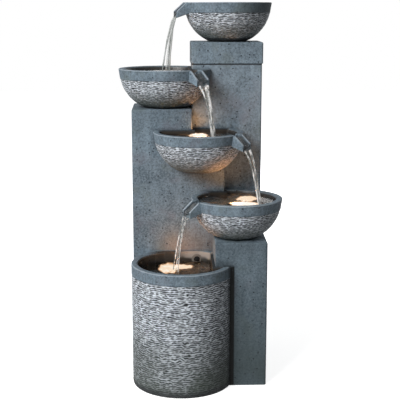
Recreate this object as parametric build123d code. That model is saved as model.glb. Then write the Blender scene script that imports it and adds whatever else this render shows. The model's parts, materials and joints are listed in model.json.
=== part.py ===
from build123d import *
import math
import os

os.makedirs("parts", exist_ok=True)

# Garden fountain of four stepped bowls on hollow cast columns over a round basin.
# Millimetres, +Z up. Plan sizes are set from the left column's front face (Y = 0, back is +Y)
# and every piece is then moved so that the ground under the middle of the fountain is the origin.

# Cast columns
shell_wall = 10.0
fit_gap = 0.15
edge_round = 5.0
top_round = 4.0
wing_round = 3.0
past = 1.0
left_column_left = -179.0
left_column_right = -16.0
left_column_depth = 175.0
wing_right = 71.0
wing_depth = 37.5
tall_column_right = 174.0
tall_column_top = 838.0
left_rim_drop = 14.0
wing_rise = 3.5
cap_height = 57.0
cap_overhang = 2.5
cap_top_thickness = 14.0
right_column_left = 39.0
right_column_right = 175.0
right_column_front = -163.5

# Bowls: the top, middle and right ones share one mould, the left one is wider
bowl_height = 105.0
bowl_radius = 120.5
bowl_base_radius = 48.0
wide_bowl_radius = 128.5
wide_bowl_base_radius = 58.0
bowl_bulge = 13.0
rim_wall = 17.0
rim_band = 28.0
band_taper = 4.0
band_step = 1.6
bowl_floor = 14.0
inner_bulge = 15.0
liner = 7.0
top_bowl_x = 84.0
top_bowl_y = 106.0
left_bowl_x = -87.0
left_bowl_y = 74.0
middle_bowl_x = -0.5
middle_bowl_y = -32.0
right_bowl_x = 99.0
right_bowl_y = -85.0

# Pouring lips: chutes that fall away from a notch in the rim
lip_reach = 26.0
lip_width = 45.0
lip_wall = 6.0
lip_drop = 23.0
lip_tip_height = 18.5
lip_depth = 28.0
channel_start = 11.0
channel_tip_depth = 9.0
top_lip_angle = 192.0
left_lip_angle = -50.5
middle_lip_angle = -33.0
right_lip_angle = 204.0

# Basin
basin_x = -46.0
basin_y = -114.5
basin_radius = 134.5
basin_height = 328.0
basin_wall = 17.0
basin_band = 26.0
basin_floor = 18.0
basin_foot_recess = 8.0
basin_below_column = 62.0
basin_foot_width = 30.0

# Lead port above the water line, from the basin into the wing
port_offset_x = 42.0
port_below_rim = 22.0
port_bore = 17.0
grommet_wall = 2.5
grommet_flange = 3.5
grommet_lip = 2.0

# Lamps
lamp_flange_radius = 28.0
lamp_flange = 4.0
lamp_radius = 22.0
lamp_body_height = 48.0
lamp_pocket_wall = 3.5
lamp_pocket_depth = 6.0
lamp_board = 1.6
lamp_seal = 1.5
lens_skirt = 2.0
lens_rise = 9.0
lens_wall = 2.0
lamp_gland_radius = 3.5
lamp_gland_length = 7.0
middle_lamp_offset = (6.5, -8.0)
basin_lamp_offset = (-39.0, -10.5)
lamp_screw_radius = 1.9
lamp_screw_length = 9.0
lamp_screw_head_radius = 2.7
lamp_screw_head = 2.0

# Pump
pump_offset_x = 52.0
pump_setback = 34.0
pump_width = 44.0
pump_height = 46.0
motor_length = 44.0
foot_height = 6.0
foot_radius = 6.5
foot_inset = 9.0
rotor_radius = 9.0
rotor_length = 30.0
rotor_gap = 1.0
shaft_radius = 1.5
running_gap = 0.05
bush_radius = 4.0
bush_length = 4.0
volute_length = 17.0
volute_front_wall = 4.0
chamber_radius = 17.0
impeller_radius = 15.0
impeller_disc = 2.0
blade_count = 6
blade_height = 7.0
blade_thickness = 1.6
eye_radius = 9.0
hub_radius = 4.0
hub_reach = 5.0
hub_bar = 4.0
spigot_bore = 4.2
spigot_height = 24.0
dial_radius = 13.0
dial_thickness = 3.0
dial_tab_reach = 26.5
dial_tab_width = 6.0
dial_swing = 25.0
dial_gap = 0.5
dial_rim = 2.0
dial_hub_rim = 1.5
grille_length = 14.0
grille_wall = 2.2
grille_slots = 6
grille_slot_width = 3.2
grille_rail = 2.0
grille_top_rail = 8.0
grille_tab_slot_gap = 1.0
pump_screw_inset = 5.0
pump_screw_radius = 1.5
pump_screw_length = 12.0

# Riser hose and the fitting in the top bowl
hose_radius = 8.0
hose_wall = 2.0
hose_rise = 88.0
hose_bend = 50.0
hose_sway_rise = 262.0
hose_sway_bend = 220.0
hose_hole_gap = 1.0
hose_end_gap = 2.0
clamp_wall = 1.6
clamp_width = 9.0
clamp_lug = 7.0
clamp_inset = 3.0
fitting_stem_radius = 10.0
fitting_flange_radius = 17.0
fitting_flange = 4.0
fitting_bore = 4.5
nozzle_radius = 7.0
nozzle_height = 20.0
fitting_tail = 24.0
fitting_hole_gap = 0.3
nut_across = 34.0
nut_height = 8.0
gasket = 2.0

# Service door in the back of the tall column
door_opening_width = 100.0
door_opening_height = 140.0
door_sill = 62.0
door_shift = 5.0
door_overlap = 9.0
door_thickness = 8.0
door_gap = 0.5
hinge_radius = 4.0
hinge_pin_radius = 1.75
hinge_knuckle = 12.0
hinge_clearance = 0.4
hinge_inset = 30.0
hinge_plate_gap = 1.0
bracket_width = 16.0
bracket_foot = 3.0
bracket_screw_pitch = 14.4
pull_radius = 9.0
pull_reach = 18.0
pull_stem_radius = 5.0
magnet_size = 12.0
magnet_depth = 5.0
strike_thickness = 2.0
magnet_gap = 1.0
wall_screw_radius = 2.0
wall_screw_length = 8.0
wall_screw_head_radius = 3.4
wall_screw_head = 2.2

# Cord gland low in the back of the tall column
gland_inset = 24.0
gland_z = 34.0
gland_radius = 9.0
gland_bore = 4.5
gland_flange_radius = 13.0
gland_flange = 4.0
gland_nose = 12.0
gland_nose_radius = 7.2

# Drain in the basin floor
drain_offset = (-62.0, 54.5)
drain_bush_radius = 15.0
drain_bush_flange_radius = 19.0
drain_bush_flange = 2.5
drain_plug_radius = 10.0
drain_gap = 0.08
drain_head_radius = 14.0
drain_head = 5.0
drain_ring_radius = 8.0
drain_ring_wire = 1.6

# Bolts between the columns, and dowels under the cap
bolt_radius = 4.0
bolt_head_across = 13.0
bolt_head = 5.5
washer_radius = 9.0
washer = 1.6
bolt_end = 2.0
side_bolt_inset = 30.0
side_bolt_shares = (0.42, 0.89)
front_bolt_inset = 35.0
front_bolt_shares = (0.28, 0.85)
dowel_radius = 4.0
dowel_length = 30.0
dowel_inset = 24.0

# Levels and planes worked out from the sizes above
tall_column_left = left_column_right
tall_column_front = wing_depth
tall_column_back = left_column_depth
cap_top = tall_column_top + cap_height
left_column_top = tall_column_top - left_rim_drop - bowl_height
right_column_top = basin_height + basin_below_column
wing_top = (left_column_top + right_column_top) / 2 + wing_rise
basin_floor_top = basin_foot_recess + basin_floor
port_x = basin_x + port_offset_x
port_z = basin_height - port_below_rim
port_hole = port_bore / 2 + grommet_wall + fit_gap
pump_x = basin_x + pump_offset_x
pump_back = -pump_setback
pump_low = basin_floor_top + foot_height
hose_start_z = pump_low + pump_height + hose_end_gap
hose_level = hose_start_z + hose_rise
door_centre_x = (tall_column_left + tall_column_right) / 2 + door_shift
gland_x = tall_column_right - gland_inset
drain_x = basin_x + drain_offset[0]
drain_y = basin_y + drain_offset[1]
side_bolt_y = left_column_depth - side_bolt_inset
side_bolt_levels = [share * left_column_top for share in side_bolt_shares]
front_bolt_x = right_column_right - front_bolt_inset
front_bolt_levels = [share * right_column_top for share in front_bolt_shares]
middle_x = (left_bowl_x - wide_bowl_radius + right_bowl_x + bowl_radius) / 2
middle_y = (basin_y - basin_radius + top_bowl_y + bowl_radius) / 2
to_origin = Pos(-middle_x, -middle_y, 0)

nodes = {}


def keep(name, *shapes):
    """Registers a finished piece, or a group of like pieces, in the fountain's own frame."""
    placed = [to_origin * solid for shape in shapes for solid in shape.solids()]
    nodes[name] = placed[0] if len(placed) == 1 else Compound(placed)


def block(x0, x1, y0, y1, z0, z1):
    """Box between two corners."""
    return Pos(x0, y0, z0) * Box(x1 - x0, y1 - y0, z1 - z0, align=(Align.MIN,) * 3)


def rod(radius, start, end):
    """Round bar between two points on a line along one axis."""
    a, b = Vector(start), Vector(end)
    return extrude(Plane(a, z_dir=b - a) * Circle(radius), (b - a).length)


def tube(radius, bore, start, end):
    """Round bar with a bore through it."""
    return rod(radius, start, end) - rod(bore, start, end)


def prism(points, z0, z1, rounding=0.0):
    """Upright prism on a closed plan outline, with its upright edges rounded."""
    face = make_face(Polyline(*points, close=True))
    if rounding:
        face = fillet(face.vertices(), rounding)
    return Pos(0, 0, z0) * extrude(face, z1 - z0)


def rectangle(x0, x1, y0, y1, inset=0.0):
    """Corners of a plan rectangle, drawn in by an inset."""
    left, right = x0 + inset, x1 - inset
    front, back = y0 + inset, y1 - inset
    return [(left, front), (right, front), (right, back), (left, back)]


def soften_top(shape):
    """Rounds the outer edges of a casting's top face."""
    return fillet(shape.edges().group_by(Axis.Z)[-1], top_round)


# Plan outlines of the columns
left_plan = (left_column_left, left_column_right, 0.0, left_column_depth)
tall_plan = (tall_column_left, tall_column_right, tall_column_front, tall_column_back)
right_plan = (right_column_left, right_column_right, right_column_front, tall_column_front)
back_plan = (tall_column_left + shell_wall + fit_gap, tall_column_right - shell_wall - fit_gap,
             tall_column_back - shell_wall, tall_column_back)
wing_plan = (left_column_right, wing_right, 0.0, wing_depth)


def neighbour(plan, top, grow=0.0):
    """The space that a column takes from the vessel beside it."""
    x0, x1, y0, y1 = plan
    return block(x0 - grow, x1 + grow, y0 - grow, y1 + grow, -past, top)


def lead_port(radius, y0, y1):
    """Round bar along the lead port."""
    return rod(radius, (port_x, y0, port_z), (port_x, y1, port_z))


def hose_hole(y0, y1, grow=0.0):
    """Clear hole for the hose and its grommet through upright walls."""
    return rod(hose_radius + hose_hole_gap + grow, (pump_x, y0, hose_level), (pump_x, y1, hose_level))


def side_bolts(radius, x0, x1):
    """Bars along the bolts between the left and the tall column."""
    return [rod(radius, (x0, side_bolt_y, z), (x1, side_bolt_y, z)) for z in side_bolt_levels]


def front_bolts(radius, y0, y1):
    """Bars along the bolts between the right and the tall column."""
    return [rod(radius, (front_bolt_x, y0, z), (front_bolt_x, y1, z)) for z in front_bolt_levels]


def make_left_column():
    """L-shaped casting: the left column and the low wing that runs in front of the tall column."""
    x0, x1, y0, y1 = left_plan
    low = [(x0, y0), (wing_right, y0), (wing_right, wing_depth), (x1, wing_depth), (x1, y1), (x0, y1)]
    outer = prism(rectangle(*left_plan), wing_top, left_column_top, edge_round)
    outer = soften_top(outer) + prism(low, 0, wing_top, wing_round)
    hollow = prism(rectangle(*left_plan, inset=shell_wall), 0, left_column_top - shell_wall)
    wing_hollow = block(x1 - 2 * shell_wall, wing_right - shell_wall, shell_wall, wing_depth - shell_wall,
                        0, wing_top - shell_wall)
    shell = outer - hollow - wing_hollow
    shell -= lead_port(port_hole, -past, shell_wall + past)
    shell -= hose_hole(-past, wing_depth + past)
    return shell - side_bolts(bolt_radius + fit_gap, x1 - 2 * shell_wall, x1 + past)


def make_tall_column():
    """Channel of three walls, open at the back between its sides."""
    x0, x1, y0, y1 = tall_plan
    outer = prism(rectangle(*tall_plan), 0, tall_column_top, edge_round)
    shell = outer - block(x0 + shell_wall, x1 - shell_wall, y0 + shell_wall, y1 + past, 0, tall_column_top)
    front, back = y0 - past, y0 + shell_wall + past
    shell -= hose_hole(front, back)
    shell -= side_bolts(bolt_radius + fit_gap, x0 - past, x0 + 2 * shell_wall)
    shell -= front_bolts(bolt_radius + fit_gap, front, back)
    return shell - dowels(dowel_radius + fit_gap)


def make_column_back():
    """Panel bedded between the channel's sides, with the service opening and the cord's hole."""
    x0, x1, y0, y1 = back_plan
    front, back = y0 - past, y1 + past
    half = door_opening_width / 2
    panel = block(x0, x1, y0, y1, 0, tall_column_top)
    panel -= block(door_centre_x - half, door_centre_x + half, front, back,
                   door_sill, door_sill + door_opening_height)
    panel -= rod(gland_radius + fit_gap, (gland_x, front, gland_z), (gland_x, back, gland_z))
    panel -= wall_screw_shanks(wall_screw_radius + fit_gap)
    return panel - dowels(dowel_radius + fit_gap)


def make_cap():
    """Hollow slab on the tall column, a little wider than it."""
    x0, x1, y0, y1 = tall_plan
    outer = prism(rectangle(x0, x1, y0, y1, -cap_overhang), tall_column_top, cap_top, edge_round)
    outer = soften_top(outer)
    hollow = prism(rectangle(*tall_plan, inset=shell_wall), tall_column_top, cap_top - cap_top_thickness)
    stem = rod(fitting_stem_radius + fitting_hole_gap, (top_bowl_x, top_bowl_y, tall_column_top),
               (top_bowl_x, top_bowl_y, cap_top + past))
    return outer - hollow - stem - dowels(dowel_radius + fit_gap)


def make_right_column():
    """Box casting in front of the tall column, notched round the wing."""
    x0, x1, y0, y1 = right_plan
    outer = soften_top(prism(rectangle(*right_plan), 0, right_column_top, edge_round))
    hollow = prism(rectangle(*right_plan, inset=shell_wall), 0, right_column_top - shell_wall)
    wing_wall = block(x0, wing_right + shell_wall, -shell_wall, y1, 0, right_column_top - shell_wall)
    shell = outer - (hollow - wing_wall)
    shell -= neighbour(wing_plan, right_column_top + past)
    return shell - front_bolts(bolt_radius + fit_gap, y1 - 2 * shell_wall, y1 + past)


def bowl_outer(radius, base_radius):
    """Solid of a bowl's outside: a curved body under a plain, slightly flared rim band."""
    band_foot = bowl_height - rim_band
    neck = radius - band_taper - band_step
    side = SagittaArc((base_radius, 0), (neck, band_foot), -bowl_bulge)
    base = Polyline((0, 0), (base_radius, 0))
    band = Polyline((neck, band_foot), (neck + band_step, band_foot), (radius, bowl_height),
                    (0, bowl_height), (0, 0))
    face = make_face([*base.edges(), *side.edges(), *band.edges()])
    return revolve(Plane.XZ * face, Axis.Z)


def bowl_inner(radius, base_radius):
    """Solid of a bowl's cavity."""
    mouth = radius - rim_wall
    foot = base_radius - liner
    top = bowl_height + past
    side = SagittaArc((foot, bowl_floor), (mouth, top), -inner_bulge)
    rest = Polyline((mouth, top), (0, top), (0, bowl_floor), (foot, bowl_floor))
    return revolve(Plane.XZ * make_face([*side.edges(), *rest.edges()]), Axis.Z)


def lip_body(radius):
    """Solid of a pouring lip along +X, level with the rim where it starts, its underside falling outward."""
    root = radius - rim_wall * 3 / 4
    tip = radius + lip_reach
    top = bowl_height
    outline = [(root, top), (radius, top), (tip, top - lip_drop), (tip, top - lip_drop - lip_tip_height),
               (root, top - lip_depth)]
    face = Plane.XZ * make_face(Polyline(*outline, close=True))
    return extrude(face, lip_width / 2, both=True)


def lip_channel(radius):
    """Solid of the water's way through the rim and down the lip."""
    root = radius - 2 * rim_wall
    tip = radius + lip_reach + past
    top = bowl_height
    outline = [(root, top - channel_start), (radius, top - channel_start),
               (tip, top - lip_drop - channel_tip_depth), (tip, top + past), (root, top + past)]
    face = Plane.XZ * make_face(Polyline(*outline, close=True))
    return extrude(face, lip_width / 2 - lip_wall, both=True)


def make_bowl(x, y, level, radius, base_radius, lip_angle, neighbours=()):
    """Bowl with a pouring lip, standing at a level and drawn in where columns cut into it."""
    place = Pos(x, y, level)
    turned = place * Rot(0, 0, lip_angle)
    outer = place * bowl_outer(radius, base_radius) + turned * lip_body(radius)
    cavity = place * bowl_inner(radius, base_radius)
    for plan, top in neighbours:
        outer -= neighbour(plan, top)
        cavity -= neighbour(plan, top, liner)
    return outer - cavity - turned * lip_channel(radius)


def make_basin():
    """Round vessel with a flat liner wall against the wing and the right column."""
    place = Pos(basin_x, basin_y, 0)
    low = Align.CENTER, Align.CENTER, Align.MIN
    body = Cylinder(basin_radius - band_step, basin_height, align=low)
    body += Pos(0, 0, basin_height - basin_band) * Cylinder(basin_radius, basin_band, align=low)
    outer = place * body
    depth = basin_height - basin_floor_top + past
    cavity = place * Pos(0, 0, basin_floor_top) * Cylinder(basin_radius - basin_wall, depth, align=low)
    recess = place * Cylinder(basin_radius - basin_foot_width, basin_foot_recess, align=low)
    slab = (left_column_left, wing_right, 0.0, left_column_depth)
    for plan in (slab, right_plan):
        outer -= neighbour(plan, basin_height + past)
        cavity -= neighbour(plan, basin_height + 2 * past, liner)
        recess -= neighbour(plan, basin_height, basin_foot_width)
    shell = outer - cavity - recess
    shell -= lead_port(port_hole, -2 * liner, past)
    shell -= lead_port(port_hole + grommet_flange, -3 * liner, -liner)
    shell -= hose_hole(-2 * liner, past)
    shell -= hose_hole(-3 * liner, -liner, grommet_flange)
    at = drain_x, drain_y
    return shell - rod(drain_bush_radius + fit_gap, (*at, 0), (*at, basin_floor_top + past))


def make_port_grommet():
    """Flanged rubber sleeve through the basin's liner and the wing's front wall."""
    back = shell_wall
    sleeve = lead_port(port_bore / 2 + grommet_wall, -liner, back)
    for y in (-liner - grommet_lip, back):
        sleeve += lead_port(port_bore / 2 + grommet_wall + grommet_flange, y, y + grommet_lip)
    return sleeve - lead_port(port_bore / 2, -2 * liner, 2 * back)


def make_hose_grommet():
    """Flanged rubber ring that seals the hose in the basin's liner."""
    ring = hose_hole(-liner, 0, -fit_gap)
    ring += hose_hole(-liner - grommet_lip, -liner, grommet_flange - fit_gap)
    return ring - hose_hole(-2 * liner, past, fit_gap - hose_hole_gap)


def make_lamp(name, x, y, floor):
    """Lamp on a vessel's floor: body, emitter board, seal, domed lens."""
    place = Pos(x, y, floor)
    top = lamp_flange + lamp_body_height
    pocket = lamp_radius - lamp_pocket_wall
    body = rod(lamp_flange_radius, (0, 0, 0), (0, 0, lamp_flange))
    body += rod(lamp_radius, (0, 0, 0), (0, 0, top))
    gland_z0 = lamp_flange + 2 * lamp_gland_radius
    body += rod(lamp_gland_radius, (0, 0, gland_z0), (0, lamp_radius + lamp_gland_length, gland_z0))
    body -= rod(pocket, (0, 0, top - lamp_pocket_depth), (0, 0, top))
    body -= [rod(lamp_screw_radius + fit_gap, start, end) for start, end in lamp_screw_lines(0, 0, 0)]
    board_z = top - lamp_pocket_depth
    board = rod(pocket - fit_gap, (0, 0, board_z), (0, 0, board_z + lamp_board))
    seal = tube(lamp_radius, pocket, (0, 0, top), (0, 0, top + lamp_seal))
    foot = top + lamp_seal
    lens = dome(lamp_radius, lens_skirt, lens_rise) - dome(pocket, 0.0, lens_rise + lens_skirt - lens_wall)
    keep("lamp_body_" + name, place * body)
    keep("lamp_board_" + name, place * board)
    keep("lamp_seal_" + name, place * seal)
    keep("lamp_lens_" + name, place * Pos(0, 0, foot) * lens)


def dome(radius, skirt, rise):
    """Low dome over a short straight skirt."""
    top = skirt + rise
    sphere = (radius ** 2 + rise ** 2) / (2 * rise)
    half = math.asin(radius / sphere) / 2
    shoulder = (sphere * math.sin(half), top - sphere * (1 - math.cos(half)))
    arc = ThreePointArc((radius, skirt), shoulder, (0, top))
    foot = [(0, top), (0, 0), (radius, 0)]
    if skirt:
        foot.append((radius, skirt))
    return revolve(Plane.XZ * make_face([*arc.edges(), *Polyline(*foot).edges()]), Axis.Z)


def lamp_screw_lines(x, y, floor):
    """Start and end of each screw that holds a lamp's flange to a floor."""
    offset_x = (lamp_radius + lamp_flange_radius) / 2
    top = floor + lamp_flange
    return [((x + s * offset_x, y, top - lamp_screw_length), (x + s * offset_x, y, top)) for s in (-1, 1)]


def wall_screw_lines():
    """Start and end of each screw that holds a hinge bracket to the back wall."""
    lines = []
    for z in hinge_levels:
        for dz in (-bracket_screw_pitch / 2, bracket_screw_pitch / 2):
            x = hinge_x - hinge_radius - bracket_width / 2
            face = tall_column_back + bracket_foot
            lines.append(((x, face - wall_screw_length, z + dz), (x, face, z + dz)))
    return lines


def wall_screw_shanks(radius):
    """Bars along the hinge brackets' screws."""
    return [rod(radius, start, end) for start, end in wall_screw_lines()]


def dowels(radius):
    """Pins between the tall column's wall and the cap, or their holes."""
    pins = []
    for y in (tall_column_front + shell_wall / 2, tall_column_back - shell_wall / 2):
        for x in (tall_column_left + dowel_inset, tall_column_right - dowel_inset):
            pins.append(rod(radius, (x, y, tall_column_top - dowel_length / 2),
                            (x, y, tall_column_top + dowel_length / 2)))
    return pins


def hexagon(across, point, direction, height):
    """Hexagonal bar that starts at a point."""
    face = Plane(Vector(point), z_dir=Vector(direction)) * RegularPolygon(across / 2, 6, major_radius=False)
    return extrude(face, height)


# Service door: the plate lies on the back wall and turns about an upright pin line beside it
door_half = door_opening_width / 2 + door_overlap
door_plate_left = door_centre_x - door_half
hinge_x = door_plate_left - hinge_radius - hinge_plate_gap
hinge_y = tall_column_back + door_gap + door_thickness
door_low = door_sill - door_overlap
door_high = door_sill + door_opening_height + door_overlap
hinge_levels = (door_low + hinge_inset, door_high - hinge_inset)


def hinge_bar(radius, z0, z1):
    """Round bar on the hinge line."""
    return rod(radius, (hinge_x, hinge_y, z0), (hinge_x, hinge_y, z1))


def make_door():
    """Door plate with a middle knuckle at each hinge."""
    face = tall_column_back + door_gap
    plate = block(door_plate_left, door_centre_x + door_half, face, hinge_y, door_low, door_high)
    plate = fillet(plate.edges().filter_by(Axis.Y), edge_round)
    half = hinge_knuckle / 2
    for z in hinge_levels:
        plate += hinge_bar(hinge_radius, z - half, z + half)
        plate += block(hinge_x, door_plate_left + past, hinge_y - hinge_radius, hinge_y,
                       z - half, z + half)
        plate -= hinge_bar(hinge_pin_radius + running_gap, z - half, z + half)
    return plate - pull_bar(pull_stem_radius / 2 + fit_gap, face, hinge_y)


def make_hinge_brackets():
    """Fixed brackets with a knuckle above and below the door's own."""
    brackets = []
    half = hinge_knuckle / 2 + hinge_clearance
    reach = half + hinge_knuckle
    foot_right = hinge_x - hinge_radius
    for z in hinge_levels:
        body = block(foot_right - bracket_width, foot_right, tall_column_back,
                     tall_column_back + bracket_foot, z - reach, z + reach)
        for z0, z1 in ((z - reach, z - half), (z + half, z + reach)):
            body += hinge_bar(hinge_radius, z0, z1)
            body += block(foot_right - bracket_foot, hinge_x, tall_column_back, hinge_y, z0, z1)
        brackets.append(body - hinge_bar(hinge_pin_radius + running_gap, z - reach, z + reach))
    shanks = wall_screw_shanks(wall_screw_radius + fit_gap)
    return [body - shanks for body in brackets]


def make_hinge_pins():
    """Pin through each hinge."""
    reach = hinge_knuckle / 2 + hinge_clearance + hinge_knuckle
    return [hinge_bar(hinge_pin_radius, z - reach, z + reach) for z in hinge_levels]


def make_wall_screws():
    """Pan-head screws of the hinge brackets."""
    screws = []
    for start, end in wall_screw_lines():
        x, y, z = end
        screws.append(rod(wall_screw_radius, start, end)
                      + rod(wall_screw_head_radius, end, (x, y + wall_screw_head, z)))
    return screws


pull_x = door_centre_x + door_half - 2 * pull_radius
pull_z = (door_low + door_high) / 2


def pull_bar(radius, y0, y1):
    """Round bar on the door pull's axis."""
    return rod(radius, (pull_x, y0, pull_z), (pull_x, y1, pull_z))


def make_door_pull():
    """Turned knob on a stem, with a spigot through the door."""
    end = hinge_y + pull_reach
    stem = pull_bar(pull_stem_radius, hinge_y, end)
    stem += pull_bar(pull_radius, hinge_y + pull_reach / 2, end)
    return stem + pull_bar(pull_stem_radius / 2, hinge_y - door_thickness, hinge_y)


magnet_x = door_centre_x + door_opening_width / 2 - strike_thickness - magnet_gap - magnet_size
magnet_z = pull_z + 3 * magnet_size


def make_catch_magnet():
    """Magnet on the door's inner face, beside the edge of the opening."""
    face = tall_column_back + door_gap
    return block(magnet_x, magnet_x + magnet_size, face - magnet_depth, face,
                 magnet_z, magnet_z + magnet_size)


def make_strike_plate():
    """Steel plate on the side of the opening, next to the magnet."""
    x1 = door_centre_x + door_opening_width / 2
    return block(x1 - strike_thickness, x1, tall_column_back - shell_wall, tall_column_back,
                 magnet_z - strike_thickness, magnet_z + magnet_size + strike_thickness)


def make_cord_gland():
    """Plastic bush where the supply cord leaves the column."""
    inner = tall_column_back - shell_wall
    start, end = (gland_x, inner, gland_z), (gland_x, tall_column_back + gland_flange, gland_z)
    body = rod(gland_radius, start, end)
    body += rod(gland_flange_radius, (gland_x, tall_column_back, gland_z), end)
    nose = (gland_x, tall_column_back + gland_nose, gland_z)
    body += rod(gland_nose_radius, end, nose)
    return body - rod(gland_bore, start, nose)


# Pump: laid along Y on the basin floor, motor at the back and intake at the front
pump_axis_z = pump_low + pump_height / 2
motor_front = pump_back - motor_length
volute_front = motor_front - volute_length
grille_front = volute_front - grille_length
rotor_back = motor_front + rotor_length
hose_start_y = motor_front - volute_length / 2


def along_pump(radius, y0, y1):
    """Round bar on the pump's axis."""
    return rod(radius, (pump_x, y0, pump_axis_z), (pump_x, y1, pump_axis_z))


def pump_block(y0, y1, inset=0.0):
    """Rounded box section of the pump between two planes."""
    half = pump_width / 2 - inset
    body = block(pump_x - half, pump_x + half, y0, y1, pump_low + inset, pump_low + pump_height - inset)
    return fillet(body.edges().filter_by(Axis.Y), edge_round)


def pump_screw_lines():
    """Start and end of each screw that holds the volute to the motor."""
    dx = pump_width / 2 - pump_screw_inset
    dz = pump_height / 2 - pump_screw_inset
    reach = pump_screw_length / 2
    lines = []
    for sx in (-1, 1):
        for sz in (-1, 1):
            x, z = pump_x + sx * dx, pump_axis_z + sz * dz
            lines.append(((x, motor_front + reach, z), (x, motor_front - reach, z)))
    return lines


def pump_screws(radius):
    """Screws of the volute, or their holes."""
    return [rod(radius, start, end) for start, end in pump_screw_lines()]


def make_pump_housing():
    """Motor block with the rotor's bore, the rear bush's pocket and a lead boss."""
    body = pump_block(motor_front, pump_back)
    body -= along_pump(rotor_radius + rotor_gap, motor_front - past, rotor_back + rotor_gap)
    body -= along_pump(bush_radius + fit_gap, rotor_back, rotor_back + rotor_gap + bush_length)
    body += along_pump(lamp_gland_radius, pump_back, pump_back + lamp_gland_length)
    return body - pump_screws(pump_screw_radius + fit_gap)


def make_volute():
    """Cover with the impeller's chamber, a barred eye, a hub for the dial and the outlet spigot."""
    body = pump_block(volute_front, motor_front)
    spigot_low = pump_low + pump_height - volute_front_wall
    outlet = (pump_x, hose_start_y, spigot_low)
    outlet_top = (pump_x, hose_start_y, hose_start_z + spigot_height)
    body += rod(hose_radius - hose_wall - fit_gap, outlet, outlet_top)
    body -= along_pump(chamber_radius, volute_front + volute_front_wall, motor_front + past)
    bar = block(pump_x - hub_bar / 2, pump_x + hub_bar / 2, volute_front, volute_front + volute_front_wall,
                pump_axis_z - eye_radius - past, pump_axis_z + eye_radius + past)
    body -= along_pump(eye_radius, volute_front - past, volute_front + volute_front_wall + past)
    body += bar + along_pump(hub_radius, volute_front - hub_reach, volute_front + volute_front_wall)
    body -= along_pump(shaft_radius + running_gap, volute_front - hub_reach / 2, motor_front)
    body -= rod(spigot_bore, (pump_x, hose_start_y, pump_axis_z + impeller_radius), outlet_top)
    return body - pump_screws(pump_screw_radius + fit_gap)


def make_impeller():
    """Magnet rotor and bladed wheel in one piece, running on the shaft."""
    wheel_back = motor_front - rotor_gap
    wheel_front = wheel_back - impeller_disc
    body = along_pump(rotor_radius, wheel_back, rotor_back)
    body += along_pump(impeller_radius, wheel_front, wheel_back)
    body += along_pump(hub_radius, wheel_front - blade_height, wheel_front)
    axis = Pos(pump_x, 0, pump_axis_z)
    blade = block(hub_radius / 2, impeller_radius - rotor_gap, wheel_front - blade_height, wheel_front,
                  -blade_thickness / 2, blade_thickness / 2)
    for i in range(blade_count):
        body += axis * Rot(0, 360 / blade_count * i, 0) * blade
    return body - along_pump(shaft_radius + running_gap, volute_front, pump_back)


def make_shaft():
    """Ceramic pin from the rear bush to the volute's hub."""
    return along_pump(shaft_radius, volute_front - hub_reach / 2, rotor_back + rotor_gap + bush_length)


def make_rear_bush():
    """Rubber bush that holds the shaft's rear end."""
    start = rotor_back + rotor_gap
    bore = along_pump(shaft_radius + running_gap, start, start + bush_length)
    return along_pump(bush_radius, start, start + bush_length) - bore


def make_flow_dial():
    """Shutter disc with two windows over the eye, and a tab for the finger."""
    back = volute_front - dial_gap
    front = back - dial_thickness
    body = along_pump(dial_radius, front, back)
    body += block(pump_x - dial_tab_width / 2, pump_x + dial_tab_width / 2, front, back,
                  pump_axis_z + dial_radius - dial_rim, pump_axis_z + dial_tab_reach)
    body -= along_pump(hub_radius + running_gap, front, back)
    window = block(hub_radius + dial_hub_rim, dial_radius - dial_rim, front, back, -hub_radius, hub_radius)
    axis = Pos(pump_x, 0, pump_axis_z)
    for angle in (0, 180):
        body -= axis * Rot(0, angle, 0) * window
    return body


def make_intake_grille():
    """Slotted cover over the dial, open at the top where the tab comes out."""
    body = pump_block(grille_front, volute_front)
    half_x = pump_width / 2 - grille_wall
    half_z = pump_height / 2 - grille_wall
    body -= block(pump_x - half_x, pump_x + half_x, grille_front + grille_wall, volute_front,
                  pump_axis_z - half_z, pump_axis_z + half_z)
    pitch = 2 * half_x / grille_slots
    for i in range(grille_slots):
        x = pump_x - half_x + pitch * (i + 0.5)
        body -= block(x - grille_slot_width / 2, x + grille_slot_width / 2,
                      grille_front - past, volute_front - past,
                      pump_axis_z - half_z + grille_rail, pump_axis_z + half_z - grille_top_rail)
    swing = pump_height / 2 * math.tan(math.radians(dial_swing)) + dial_tab_width
    slot_front = volute_front - dial_thickness - 2 * dial_gap - grille_tab_slot_gap
    body -= block(pump_x - swing, pump_x + swing, slot_front, volute_front,
                  pump_axis_z + half_z - past, pump_low + pump_height)
    return body


def make_suction_feet():
    """Four rubber feet under the motor and the volute."""
    feet = []
    for x in (pump_x - pump_width / 2 + foot_inset, pump_x + pump_width / 2 - foot_inset):
        for y in (volute_front + foot_inset, pump_back - foot_inset):
            feet.append(rod(foot_radius, (x, y, basin_floor_top), (x, y, pump_low)))
    return feet


# Hose from the pump through the basin's back wall and up the tall column
fitting_foot = cap_top - cap_top_thickness - nut_height
hose_end_z = fitting_foot - hose_end_gap
hose_sway_top = hose_level + hose_sway_rise
hose_route = [(pump_x, hose_start_y, hose_start_z), (pump_x, hose_start_y, hose_level),
              (pump_x, top_bowl_y, hose_level), (top_bowl_x, top_bowl_y, hose_sway_top),
              (top_bowl_x, top_bowl_y, hose_end_z)]


def make_hose():
    """Hose swept along straight runs and tangent arcs."""
    path = FilletPolyline(*hose_route, radius=[hose_bend, hose_bend, hose_sway_bend])
    section = Circle(hose_radius) - Circle(hose_radius - hose_wall)
    hose = sweep(Plane(Vector(hose_route[0]), z_dir=(0, 0, 1)) * section, path=path)
    print("hose volume", round(hose.volume), "section times length", round(section.area * path.length))
    return hose


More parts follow.
